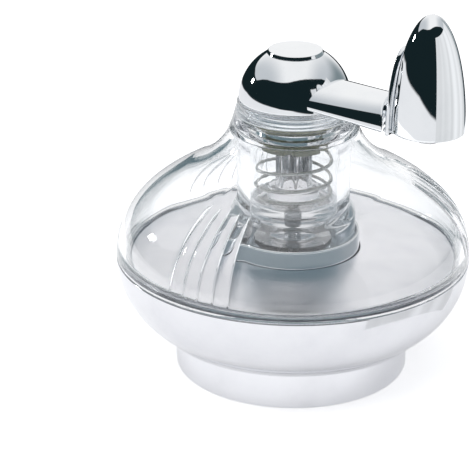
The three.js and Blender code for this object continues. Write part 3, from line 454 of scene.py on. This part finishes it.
body_plastic = clear_plastic("body_plastic", (0.975, 0.98, 0.983), (0.96, 0.966, 0.972), 60.0, 0.00012)
plunger_plastic = clear_plastic("plunger_plastic", (0.99, 0.982, 0.99), (0.98, 0.97, 0.982), 110.0, 0.0001)
print("finishes:", body_plastic.name, plunger_plastic.name)

# %% [markdown]
# ## Nylon
# The bush, the washer and the knob's bearing are milky nylon that has yellowed a little. It lets some light
# through, so it mixes transmission with a warm colour and a waxy roughness.

# %% Nylon finish
nylon, wiring, shader = new_material("aged_nylon", Roughness=0.35, Transmission_Weight=0.35, IOR=1.53)
mark = group_outputs(wiring, marks, Size=250.0)
milky = wiring.colours(mark["Smudge"], (0.88, 0.87, 0.68, 1), (0.70, 0.69, 0.48, 1))
wiring.tree.links.new(milky, shader.inputs["Base Color"])
print("finish:", nylon.name)

# %% [markdown]
# ## Foot ring
# The grater stands on a short plated ring. It was rolled from sheet with a flange turned inwards at its top,
# so both its edges are soft. One rounded profile, turned, gives all of it.

# %% Foot ring
FOOT_RADIUS, FOOT_TOP = 31.4, 11.45
foot_ring = turned("foot_ring_shell", rounded([
    (29.0, 0, 0.6), (FOOT_RADIUS, 0, 0.7), (FOOT_RADIUS, FOOT_TOP, 0.3), (22.0, FOOT_TOP, 0.4),
    (22.0, 9.7, 0.4), (29.0, 9.7, 0.8),
]))
finished(foot_ring, foot_chrome_painted_light, "base", "chrome", "foot_ring")

# %% [markdown]
# ## Base bowl
# The bowl is spun metal. It stands upright at the rim and rounds in towards the foot. Its side is one Bezier
# curve, its wall is the same curve moved inwards, and a ledge inside the rim carries the clear body's lip.

# %% Base bowl
RIM_RADIUS, RIM_Z = 47.5, 31.8
BOWL_FLOOR_RADIUS, BOWL_FLOOR_Z = 36.3, 11.6
BOWL_WALL = 1.8

def bowl_side(inset, steps=40):
    """The bowl's side from its floor up to its rim, moved inwards by inset.

    It leaves the floor almost level, turns up in one sweep and is upright at the rim."""
    low, width = BOWL_FLOOR_Z + 1.0, RIM_RADIUS - BOWL_FLOOR_RADIUS
    height = RIM_Z - low
    return curve(
        (BOWL_FLOOR_RADIUS - inset, low + inset),
        (BOWL_FLOOR_RADIUS - inset + 0.62 * width, low + inset + 0.21 * height),
        (RIM_RADIUS - inset, RIM_Z - 0.42 * height),
        (RIM_RADIUS - inset, RIM_Z),
        steps,
    )

def smooth(points):
    """Points of a curve, as profile corners that need no rounding."""
    return np.column_stack([points, np.zeros(len(points))])

outside, inside = bowl_side(0), bowl_side(BOWL_WALL)
inside = inside[inside[:, 1] < 27.0][::-1]
profile = rounded(np.concatenate([
    [(21.1, 13.4, 0.3), (21.1, BOWL_FLOOR_Z, 0.3), (BOWL_FLOOR_RADIUS - 0.3, BOWL_FLOOR_Z, 0.5)],
    smooth(outside[1:-1]), [(RIM_RADIUS, RIM_Z, 0.3), (RIM_RADIUS - BOWL_WALL, RIM_Z, 0.3)],
    [(RIM_RADIUS - BOWL_WALL, 28.7, 0.2), (42.1, 28.7, 0.3), (42.1, 27.2, 0.3), (inside[0, 0], 27.2, 0.2)],
    smooth(inside[1:]), [(33.5, 13.4, 0.2)],
]))
base_bowl = turned("base_bowl_shell", profile, round_angles(256))
finished(base_bowl, bowl_chrome, "base", "chrome", "base_bowl")

# %% [markdown]
# ## Storage deck and cup
# Inside the clear body a pale metal deck slopes up a little towards the middle. A polished cup stands through
# it and holds the grater disc low down. The cup's rim is rolled over, which draws a bright line round it.

# %% Storage deck
storage_deck = turned("storage_deck_plate", rounded([
    (18.1, 32.8, 0.2), (42.4, 31.0, 0.5), (42.4, 29.0, 0.3),
    (43.6, 29.0, 0.3), (43.6, 32.2, 0.3), (18.1, 34.0, 0.3),
]))
finished(storage_deck, deck_metal, "base", "deck", "storage_deck")

# %% Cup
chamber_cup = turned("chamber_cup_shell", rounded([
    (16.9, 13.7, 0.3), (28.3, 13.7, 0.4), (28.3, 16.1, 0.6), (17.8, 16.1, 0.5), (17.8, 31.12, 0.2),
    (19.0, 31.12, 0.3), (19.0, 32.32, 0.3), (17.8, 32.32, 0.2), (17.8, 38.7, 0.42), (16.9, 38.7, 0.42),
    (16.9, 26.3, 0.3), (13.4, 26.3, 0.4), (13.4, 24.6, 0.4), (16.9, 24.6, 0.3),
]))
finished(chamber_cup, cup_chrome, "base", "chrome", "chamber_cup")

# %% [markdown]
# ## Clear body
# One moulding is the shoulder, the neck and the tube in the middle. Its outside is two Bezier curves, a round
# shoulder and a hollow flare, that meet at a slope of 28 degrees. Its inside is the same line moved in by the
# wall. Three groups of five grip grooves run up the outside, so the angles lie closer together there.

# %% Outline of the clear body
SEAM_Z, NECK_TOP = 32.1, 75.2
NECK_RADIUS, BODY_WALL = 15.1, 2.3
LIP_TOP, ROOF_ROUNDING_ROOM = 34.2, 1.6
SHOULDER = np.array([29.3, 55.5])
SHOULDER_FALL = math.radians(28)
SHOULDER_SLOPE = np.array([math.cos(SHOULDER_FALL), -math.sin(SHOULDER_FALL)])

def body_outline(steps=52):
    """The body's outside from the seam up to the neck."""
    low, high = np.array([RIM_RADIUS, SEAM_Z]), np.array([NECK_RADIUS, NECK_TOP])
    lower_reach = 0.52 * np.linalg.norm(SHOULDER - low)
    upper_reach = 0.42 * np.linalg.norm(SHOULDER - high)
    drop = NECK_TOP - SHOULDER[1]
    upright = (RIM_RADIUS, SEAM_Z + 0.4 * (SHOULDER[1] - SEAM_Z))
    hollow = (NECK_RADIUS + 0.11 * drop, NECK_TOP - 0.54 * drop)
    shoulder = curve(low, upright, SHOULDER + lower_reach * SHOULDER_SLOPE, SHOULDER, steps)
    flare = curve(SHOULDER, SHOULDER - upper_reach * SHOULDER_SLOPE, hollow, high, steps)
    return np.concatenate([shoulder, flare[1:]])

outline = body_outline()
inner = offset(outline, BODY_WALL)
meets_tube = int(np.argmax(inner[:, 0] < NECK_RADIUS))
tube_top = inner[meets_tube, 1]
roof = inner[(inner[:, 1] > LIP_TOP) & (inner[:, 1] < tube_top - ROOF_ROUNDING_ROOM)][::-1]
print("the roof meets the tube at", inner[meets_tube].round(2), "and the lip at", roof[-1].round(2))

# %% Profile and directions of the clear body
GROOVE_WIDTH_DEGREES, GROOVE_DEPTH = 1.0, 0.35
GROOVE_GROUPS, GROOVE_PITCH, PLAIN_STEP = np.array([-122, -2, 118]), 5.3, 3.0
OUTSIDE_WAVES, INSIDE_WAVES = 0.2, 1.0
GROOVE_LOW, GROOVE_HIGH = 34.5, 54.0
NECK_BORE, BEARING_TOP, NECK_RINGS, NECK_RING_DEPTH = 13.5, 69.5, 3, 0.4
groove_angles = (GROOVE_GROUPS[:, None] + GROOVE_PITCH * np.arange(-2, 3)).ravel()
close = (groove_angles[:, None] + np.linspace(-1.0, 1.0, 9) * GROOVE_WIDTH_DEGREES / 2).ravel()

def to_nearest_groove(degrees):
    """How many degrees each direction is from the groove nearest to it."""
    return np.abs((degrees[:, None] - groove_angles + 180) % 360 - 180).min(1)

wide = np.arange(-180, 180, PLAIN_STEP)
far_off = to_nearest_groove(wide) > GROOVE_WIDTH_DEGREES * 0.8
body_angles = np.radians(np.sort(np.concatenate([close, wide[far_off]])))

ring_pitch = (NECK_TOP - BEARING_TOP) / (2 * NECK_RINGS + 1)
neck_rings = [
    (NECK_BORE + NECK_RING_DEPTH * (k % 2), NECK_TOP - ring_pitch * (k + step), 0.14)
    for k in range(2 * NECK_RINGS + 1) for step in (0, 1)
]
body_profile = rounded(np.concatenate([
    [(43.9, 29.3, 0.4), (45.4, 29.3, 0.4), (45.4, SEAM_Z, 0.2), (RIM_RADIUS, SEAM_Z, 0.25)],
    smooth(outline[2:-2]), [(NECK_RADIUS, NECK_TOP, 0.35)], neck_rings,
    [(8.2, BEARING_TOP, 0.3), (8.2, 66.0, 0.3), (11.8, 66.0, 0.5), (11.8, 32.8, 0.8), (13.2, 30.0, 0.4),
     (16.6, 30.0, 0.4), (16.6, 43.5, 0.7), (NECK_RADIUS, 46.0, 0.7), (NECK_RADIUS, tube_top, 0.9)],
    smooth(roof), [(43.9, 32.5, 0.3)],
]), steps=5)
print("the body has", len(body_profile), "points round its wall and", len(body_angles), "directions")

# %% Grooves pressed into the outside
# Each groove is a cosine across, to the power 1.5, and the root of a sine along, so it runs out softly.
grid = spin(body_profile, body_angles)
nearest = to_nearest_groove(np.degrees(body_angles))
across = np.cos(np.clip(nearest / (GROOVE_WIDTH_DEGREES / 2), 0, 1) * math.pi / 2) ** 1.5
radius, height = body_profile.T
outside_radius = np.interp(height, outline[:, 1], outline[:, 0])
on_outside = np.abs(radius - outside_radius) < 0.02
along = np.sin(np.clip((height - GROOVE_LOW) / (GROOVE_HIGH - GROOVE_LOW), 0, 1) * math.pi)
depth_here = (on_outside * GROOVE_DEPTH * np.sqrt(along))[:, None] * across
inward = offset(body_profile, 1.0) - body_profile
grid[..., 0] += depth_here * inward[:, :1] * np.cos(body_angles)
grid[..., 1] += depth_here * inward[:, :1] * np.sin(body_angles)
grid[..., 2] += depth_here * inward[:, 1:]
clear_body = skin("clear_body_moulding", grid, closed=True)
set_waviness(clear_body, np.repeat(np.where(on_outside, OUTSIDE_WAVES, INSIDE_WAVES), len(body_angles)))
finished(clear_body, body_plastic, "upper", "clear", "clear_body")

# %% Washer in the neck
bearing_washer = turned("bearing_washer_ring", rounded([
    (8.2, 69.8, 0.15), (12.9, 69.8, 0.15), (12.9, 70.5, 0.15), (8.2, 70.5, 0.15),
]))
finished(bearing_washer, nylon, "upper", "nylon", "bearing_washer")

# %% [markdown]
# ## Crank hub
# The hub is a plated zinc casting: half an ellipse above the neck, and below it a ribbed plug that turns
# inside the neck. A journal reaches down through the bearing. It is all one profile. The plunger slides in
# its bore.

# %% Crank hub
DOME_RADIUS, DOME_HEIGHT, DOME_Z = 14.8, 14.4, 75.5
PLUG_RADIUS, PLUG_Z, RIB_COUNT, RIB_DEPTH = 13.2, 70.8, 3, 0.5
rib_pitch = (DOME_Z - PLUG_Z) / (2 * RIB_COUNT + 1)
ribs = [
    (PLUG_RADIUS - RIB_DEPTH * (k % 2), PLUG_Z + rib_pitch * (k + step), 0.16)
    for k in range(2 * RIB_COUNT + 1) for step in (0, 1)
]
dome = half_ellipse(DOME_RADIUS, DOME_Z, DOME_HEIGHT, DOME_RADIUS * 0.9995, 7.35, 60)
crown_z = dome[-1, 1]
hollow = half_ellipse(11.9, DOME_Z, 11.0, 11.9, 6.05, 24)[::-1]
hub_profile = rounded(np.concatenate([
    [(5.4, 73.0, 0.2), (5.4, 62.9, 0.3), (6.9, 62.9, 0.3), (6.9, 66.0, 0.2), (7.9, 66.0, 0.3),
     (7.9, PLUG_Z, 0.3)],
    ribs, [(DOME_RADIUS, DOME_Z, 0.35)], smooth(dome[4:-1]),
    [(7.35, crown_z, 0.04), (7.05, crown_z, 0.04), (7.05, crown_z - 1, 0.1), (6.05, crown_z - 1, 0.1)],
    smooth(hollow[1:]), [(11.9, 73.0, 0.3)],
]))
crank_hub = turned("crank_hub_casting", hub_profile, round_angles(224))
finished(crank_hub, mirror_chrome, "crank", "chrome", "crank_handle")

# %% Hub cap
CAP_FLAT, CAP_EDGE, CAP_RISE = 7.05, 7.5, 0.9
hub_cap = turned("hub_cap_disc", rounded([
    (0.05, crown_z - 0.7, 0.02), (6.75, crown_z - 0.7, 0.2), (6.75, crown_z + 0.05, 0.05),
    (CAP_EDGE, crown_z + 0.05, 0.05), (CAP_FLAT, crown_z + CAP_RISE, 0.12), (0.05, crown_z + CAP_RISE, 0.02),
]))
finished(hub_cap, mirror_chrome, "crank", "chrome", "hub_cap")

# %% [markdown]
# ## Crank arm
# The arm is a wide, low bar that gets narrower and taller on its way out and ends in a short round neck. It
# is worked out pointing along X and then turned to the crank's angle. Its section is half an ellipse over a
# flat underside, which is why a mirror-bright arm shows one broad pale stripe above one broad dark one. Its
# end is hollowed to follow the knob: a point at a distance a across reaches R - sqrt(R^2 - a^2) further than
# the middle.

# %% Section of the arm
CRANK_ANGLE = math.radians(-40)
KNOB_OFFSET = 42.9
CORNER_WIDTH, CORNER_HEIGHT = 0.06, 0.08
CROWN_STEPS, CORNER_STEPS = 46, 12

def at_crank(points):
    """Turns points about the upright axis from X to the crank's angle."""
    c, s = math.cos(CRANK_ANGLE), math.sin(CRANK_ANGLE)
    return points @ np.array([[c, s, 0], [-s, c, 0], [0, 0, 1]])

def arc(centre, reach, start, end, steps):
    """Part of an ellipse: the centre plus each reach times the cosine and the sine of angles in degrees."""
    angle = np.radians(np.linspace(start, end, steps))[:, None]
    return np.array(centre) + np.array(reach) * np.hstack([np.cos(angle), np.sin(angle)])

def domed_bar():
    """A section two wide and one high: half an ellipse over a flat underside at height zero."""
    crown = arc((0, CORNER_HEIGHT), (1, 1 - CORNER_HEIGHT), 90, 0, CROWN_STEPS)
    corner_centre = (1 - CORNER_WIDTH, CORNER_HEIGHT)
    corner = arc(corner_centre, (CORNER_WIDTH, CORNER_HEIGHT), 0, -90, CORNER_STEPS)
    half = np.concatenate([crown, corner[1:], [(0.92, 0), (0.6, 0), (0.2, 0)]])
    return np.concatenate([half, half[:0:-1] * [-1, 1]])

bar = domed_bar()
print("the arm's section has", len(bar), "points")

# %% Crank arm
ARM_START, ARM_END, ARM_NECK_END, ARM_NECK = 10.0, 31.2, 32.6, 2.6
ARM_ROUNDING, HOLLOW_RADIUS, FULL_REACH = 0.5, 11.7, 35.0
ARM_UNDERSIDE, ARM_HALF_WIDTH, ARM_HEIGHT = (77.45, 75.8), (9.95, 7.65), (5.1, 7.75)
BAR_STEPS, BEND_STEPS, FACE_STEPS, NECK_STEPS = 59, 12, 7, 6
# The rings run along the bar, round the bend at its end, in over its end face, and out along the neck.
bar_end = ARM_END - ARM_ROUNDING
bend, face = np.linspace(0, math.pi / 2, BEND_STEPS), np.linspace(0, 1, FACE_STEPS + 1)[1:]
reach = np.concatenate([
    np.linspace(ARM_START, bar_end, BAR_STEPS + 1)[:-1], bar_end + ARM_ROUNDING * np.sin(bend),
    np.full(FACE_STEPS, ARM_END), np.linspace(ARM_END + 0.3, ARM_NECK_END, NECK_STEPS),
])[:, None]
bend_cut = ARM_ROUNDING * (1 - np.cos(bend))
cut = np.concatenate([np.zeros(BAR_STEPS), bend_cut, np.full(FACE_STEPS + NECK_STEPS, ARM_ROUNDING)])[:, None]
roundness = np.concatenate([np.zeros(BAR_STEPS + BEND_STEPS), face, np.ones(NECK_STEPS)])[:, None]

def bar_at(reach):
    """The section's points, across and up, at each reach from the hub's axis.

    Half width, height and underside change evenly from the hub out, the bend cuts all round by the same
    amount, and roundness moves each point towards the neck's circle in its own direction."""
    share = reach / FULL_REACH
    underside, half_width, height = (
        near + (far - near) * share for near, far in (ARM_UNDERSIDE, ARM_HALF_WIDTH, ARM_HEIGHT)
    )
    across = (half_width - cut) * bar[:, 0]
    up = underside + cut + (height - 2 * cut) * bar[:, 1]
    middle = underside + height / 2
    turned_by = np.arctan2(2 * bar[:, 1] - 1, bar[:, 0])
    across = across + roundness * (ARM_NECK * np.cos(turned_by) - across)
    up = up + roundness * (middle + ARM_NECK * np.sin(turned_by) - up)
    return across, up

across, up = bar_at(np.minimum(reach, ARM_END))
share_of_bar = np.clip((reach - ARM_START) / (bar_end - ARM_START), 0, 1)
follow = (HOLLOW_RADIUS - np.sqrt(HOLLOW_RADIUS**2 - across**2)) * share_of_bar
along = reach + follow
across, up = bar_at(np.minimum(along, ARM_END + follow))
crank_arm = skin("crank_arm_bar", at_crank(np.stack([along, across, up], axis=-1)))
finished(crank_arm, mirror_chrome, "crank", "chrome", "crank_handle")

# %% [markdown]
# ## Knob and its saddle
# The knob is half an ellipse, more than three times as tall as its radius, and it spins on an upright pin. A
# thin saddle grows out of the arm, hugs the side of the knob that faces the hub, and turns under it to hold
# the pin.

# %% Knob
KNOB_RADIUS, KNOB_HEIGHT, KNOB_Z = 9.3, 30.3, 76.5
knob_side = half_ellipse(KNOB_RADIUS, KNOB_Z, KNOB_HEIGHT, KNOB_RADIUS * 0.999, 0.02, 90)
knob_foot = rounded([
    (0.05, 94.7, 0.01), (4.3, 94.7, 0.3), (4.3, KNOB_Z, 0.3), (KNOB_RADIUS, KNOB_Z, 0.45),
    (KNOB_RADIUS, KNOB_Z + 4, 0.1),
])
# The last corner only sets the direction of the one before it, so its eight points make way for the side.
knob_profile = np.concatenate([knob_foot[:-8], knob_side[2:]])
knob_place = at_crank(np.array([KNOB_OFFSET, 0, 0]))
knob = skin("knob_bullet", spin(knob_profile, round_angles(192)) + knob_place)
finished(knob, mirror_chrome, "knob", "chrome", "knob")

# %% Saddle
SADDLE_GAP, SADDLE_THICKNESS = 0.4, 1.2
SADDLE_TOP, SADDLE_HALF_WIDTH, TAB_Z = 97.0, 6.5, 75.0

def knob_radius_at(z):
    """The knob's radius at height z."""
    return KNOB_RADIUS * np.sqrt(1 - np.clip((z - KNOB_Z) / KNOB_HEIGHT, 0, 1) ** 2)

def rounded_bar(angle, width, thickness, power=0.35):
    """A rounded rectangle: width and thickness times the cosine and sine, each raised to a small power."""
    c, s = np.cos(angle), np.sin(angle)
    return width * np.sign(c) * np.abs(c) ** power, thickness * np.sign(s) * np.abs(s) ** power

t = np.linspace(0, 1, 60)[:, None]
rise = TAB_Z + (SADDLE_TOP - TAB_Z) * np.sin(t * math.pi / 2)
half_width = np.maximum(SADDLE_HALF_WIDTH * np.cos(t * math.pi / 2), 0.02)
across, through = rounded_bar(round_angles(72), half_width, SADDLE_THICKNESS / 2)
hug = knob_radius_at(rise) + SADDLE_GAP + SADDLE_THICKNESS / 2 + through
turn_round = across / (knob_radius_at(rise) + SADDLE_GAP)
shell = np.stack([
    KNOB_OFFSET - hug * np.cos(turn_round), -hug * np.sin(turn_round), rise + 0 * across,
], axis=-1)
saddle = skin("knob_saddle", at_crank(shell[:, ::-1]))
finished(saddle, mirror_chrome, "crank", "chrome", "crank_handle")

# %% Tab under the knob
TAB_START, TAB_RADIUS = -10.4, 5.0
out = np.linspace(TAB_START, TAB_RADIUS, 40)[:, None]
half_width = np.where(out < 0, TAB_RADIUS, np.sqrt(np.maximum(TAB_RADIUS**2 - out**2, 0.02**2)))
across, through = rounded_bar(round_angles(48), half_width, SADDLE_THICKNESS / 2)
tab_height = TAB_Z + SADDLE_THICKNESS / 2 + through + 0 * across
tab_grid = np.stack([KNOB_OFFSET + out + 0 * across, across, tab_height], axis=-1)
tab = skin("knob_tab", at_crank(tab_grid))
finished(tab, mirror_chrome, "crank", "chrome", "crank_handle")

# %% [markdown]
# ## Bush under the neck
# A notched bush holds the crank's journal from below. Its notches are cut by pulling its radius in at six
# angles.

# %% Retaining bush
NOTCH_COUNT, NOTCH_DEPTH, NOTCH_INNER_RADIUS = 6, 1.2, 8.0
NOTCH_HALF_ANGLE, NOTCH_EDGE = 0.1, 0.012
bush_angles = round_angles(240)
bush_profile = rounded([
    (7.2, 62.6, 0.3), (9.3, 62.6, 0.3), (9.3, 63.7, 0.1), (8.9, 63.9, 0.1), (8.9, 64.3, 0.1),
    (9.3, 64.5, 0.1), (9.3, 65.7, 0.3), (7.2, 65.7, 0.3),
])
pitch = 2 * math.pi / NOTCH_COUNT
from_notch = np.abs((bush_angles - CRANK_ANGLE + pitch / 2) % pitch - pitch / 2)
notch = 1.0 / (1 + np.exp((from_notch - NOTCH_HALF_ANGLE) / NOTCH_EDGE))
bush_grid = spin(bush_profile, bush_angles)
bush_radius = bush_profile[:, :1]
pulled_in = 1 - NOTCH_DEPTH * notch * (bush_radius > NOTCH_INNER_RADIUS) / bush_radius
bush_grid[..., :2] *= pulled_in[..., None]
bush = skin("retaining_bush_ring", bush_grid, closed=True)
finished(bush, nylon, "crank", "nylon", "retaining_bush")

# %% [markdown]
# ## Plunger
# The plunger is one clear moulding: a wide collar that slides in the tube, a boss, and a fluted stem that the
# crank turns. The flutes are eight waves in the stem's radius.

# %% Plunger
STEM_RADIUS, FLUTES_FROM, FLUTE_COUNT, FLUTE_HALF_DEPTH = 4.9, 51.2, 8, 0.3
plunger_angles = round_angles(192)
plunger_profile = rounded([
    (0.05, 37.9, 0.02), (6.5, 37.9, 0.4), (6.5, 41.7, 0.5), (11.4, 41.7, 0.7), (11.4, 47.9, 0.7),
    (6.8, 47.9, 0.4), (6.8, 50.9, 0.5), (STEM_RADIUS, 50.9, 0.3), (STEM_RADIUS, 73.0, 0.3),
    (0.05, 73.0, 0.02),
])
flutes = FLUTE_HALF_DEPTH * (np.cos(FLUTE_COUNT * (plunger_angles - CRANK_ANGLE)) - 1)
stem_share = np.clip(plunger_profile[:, :1] / STEM_RADIUS, 0, 1)
on_stem = (plunger_profile[:, 1:] > FLUTES_FROM) * stem_share
plunger_grid = spin(plunger_profile, plunger_angles)
plunger_grid[..., :2] *= (1 + on_stem * flutes / STEM_RADIUS)[..., None]
plunger = skin("plunger_moulding", plunger_grid)
set_waviness(plunger, np.ones(len(plunger.data.vertices)))
finished(plunger, plunger_plastic, "plunger", "clear", "plunger")

# %% [markdown]
# ## Spring
# The wire follows a helix that rests flat on the collar, opens on its way up and winds in round the stem
# under the bush. A circle is carried along it, and a fan closes each end.

# %% Plunger spring
SPRING_RADIUS, SPRING_TOP_RADIUS, WIRE, TURNS = 10.0, 6.2, 0.95, 2.83
SPRING_LOW, SPRING_HIGH = 48.2 + WIRE / 2, 62.3 - WIRE / 2
SPRING_RISE, SPRING_WIND_IN, SPRING_START_DEGREES = 1.4, 0.86, 209
t = np.linspace(0, 1, 360)[:, None]
turn_at = math.radians(SPRING_START_DEGREES) + 2 * math.pi * TURNS * t
climb = SPRING_LOW + (SPRING_HIGH - SPRING_LOW) * t**SPRING_RISE
wound = np.clip((t - SPRING_WIND_IN) / (1 - SPRING_WIND_IN), 0, 1)
helix_radius = SPRING_RADIUS + (SPRING_TOP_RADIUS - SPRING_RADIUS) * wound**2 * (3 - 2 * wound)
ring = round_angles(16)
distance = helix_radius + WIRE / 2 * np.cos(ring)
wire_grid = np.stack([
    distance * np.cos(turn_at), distance * np.sin(turn_at), climb - WIRE / 2 * np.sin(ring),
], axis=-1)
spring = skin("plunger_spring_wire", wire_grid)
finished(spring, wire_steel, "crank", "spring", "plunger_spring")
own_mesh(spring)

# %% [markdown]
# ## Pieces kept from the frame
# The grater disc, the claw plate, the stop washer, the screws and the parts inside the knob already have the
# right shape, so they keep their CAD mesh and only get a finish.

# %% Finish for the kept pieces
KEPT = {
    tool_steel: ["grater_disc", "claw_plate", "claw_screw", "stop_washer", "stop_screw", "knob_pin"]
    + [f"{kind}_screw_{k}" for kind in ("foot", "grater") for k in (1, 2, 3)],
    nylon: ["knob_bush"],
}
for material, names in KEPT.items():
    for name in names:
        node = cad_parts[name]
        node.data.materials.clear()
        node.data.materials.append(material)
print("kept from the frame:", sum(KEPT.values(), []))

# %% [markdown]
# ## Table, card and lamps
# The table is a white sheet, which keeps the soft shadow. Mirrors see only its middle, because the room's
# painting has its edge. A curved white card stands close to the knob, and only reflections see it. A soft key
# lamp gives the light and the shadow without being mirrored, and a small bright one gives the highlights.

# %% Table
NEAR_TABLE, FAR_TABLE, TABLE_BOTTOM = 230.0, 900.0, -0.4
CAMERA_LIFT, MIRROR_LIFT, CLEAR_LIFT = 0.45, 0.19, 0.18
white_paper, wiring, shader = new_material("white_paper", Roughness=0.9)
paper = wiring.add("TexNoise", named={"Scale": 300.0, "Vector": wiring.place()})
paper_colour = wiring.colours(paper, (0.86, 0.86, 0.87, 1), (0.90, 0.90, 0.90, 1))
wiring.tree.links.new(paper_colour, shader.inputs["Base Color"])
path = wiring.add("LightPath").node
direct = wiring.math("MULTIPLY", path.outputs["Is Camera Ray"], CAMERA_LIFT)
mirrored = wiring.math("MULTIPLY_ADD", path.outputs["Is Glossy Ray"], MIRROR_LIFT, direct)
lift = wiring.math("MULTIPLY_ADD", path.outputs["Is Transmission Ray"], CLEAR_LIFT, mirrored)
wiring.tree.links.new(lift, shader.inputs["Emission Strength"])
shader.inputs["Emission Color"].default_value = (1, 1, 1, 1)
around = round_angles(96)
near_table = skin("near_table", spin(np.array([(NEAR_TABLE, TABLE_BOTTOM), (NEAR_TABLE, 0.0)]), around))
far_edges = np.array([
    (FAR_TABLE, TABLE_BOTTOM), (FAR_TABLE, 0.0), (NEAR_TABLE, 0.0), (NEAR_TABLE, TABLE_BOTTOM),
])
far_table = skin("far_table", spin(far_edges, around), closed=True)
far_table.visible_glossy = False
for sheet in (near_table, far_table):
    sheet.data.shade_flat()
    sheet.data.materials.append(white_paper)
print("table", NEAR_TABLE, "mm round the grater for mirrors, and on to", FAR_TABLE, "mm for the camera")

# %% White card beside the knob
CARD_DISTANCE, CARD_BOTTOM, CARD_TOP, CARD_COLUMNS = 40.0, 2.0, 127.0, 40
bearing = np.radians(np.linspace(-75, 35, CARD_COLUMNS))
card_points = np.stack([np.cos(bearing), np.sin(bearing)], axis=-1) * CARD_DISTANCE + knob_place[:2]
card_grid = np.stack([
    np.column_stack([card_points, np.full(CARD_COLUMNS, h)]) for h in (CARD_BOTTOM, CARD_TOP)
])
# The card isn't a ring, so the face that would join its last column to its first is left out.
card_faces = grid_faces(2, CARD_COLUMNS, False)[:-1]
card = put_mesh("white_card", card_grid.reshape(-1, 3), card_faces.tolist())
card_paint, wiring, shader = new_material("white_card", Roughness=1.0)
shader.inputs["Base Color"].default_value = (0.01, 0.01, 0.01, 1)
shader.inputs["Emission Color"].default_value = (0.97, 0.985, 1, 1)
streaks = wiring.add("Mapping", wiring.place(), named={"Scale": (70.0, 70.0, 3.0)})
streak = wiring.add("TexNoise", named={"Vector": streaks, "Scale": 1.0, "Detail": 2.0})
wiring.tree.links.new(wiring.ramp(streak, 0.35, 0.65, 0.78, 1.0), shader.inputs["Emission Strength"])
card.data.materials.append(card_paint)
card.visible_camera = card.visible_diffuse = card.visible_shadow = card.visible_transmission = False
print("card", CARD_DISTANCE, "mm from the knob's axis, up to", CARD_TOP, "mm")

# %% Lamps
def lamp(name, place, target, size, watts, shows=True):
    """A square lamp at place, facing target, both in metres. Where shows is False, mirrors don't see it."""
    data = bpy.data.lights.new(name, "AREA")
    data.size, data.energy = size, watts
    holder = bpy.data.objects.new(name, data)
    bpy.context.scene.collection.objects.link(holder)
    away = np.array(place, float) - np.array(target, float)
    away /= np.linalg.norm(away)
    right = np.cross((0, 0, 1), away)
    right /= np.linalg.norm(right)
    turn = Matrix(np.column_stack([right, np.cross(away, right), away]).tolist()).to_4x4()
    holder.matrix_world = Matrix.Translation(place) @ turn
    holder.visible_glossy = holder.visible_transmission = shows

lamp("soft_key", (-0.35, -0.45, 0.75), (0, 0, 0.04), 0.5, 3.0, shows=False)
lamp("bright_spot", (-0.448, 0.202, 0.209), (0, 0, 0.07), 0.045, 0.25)
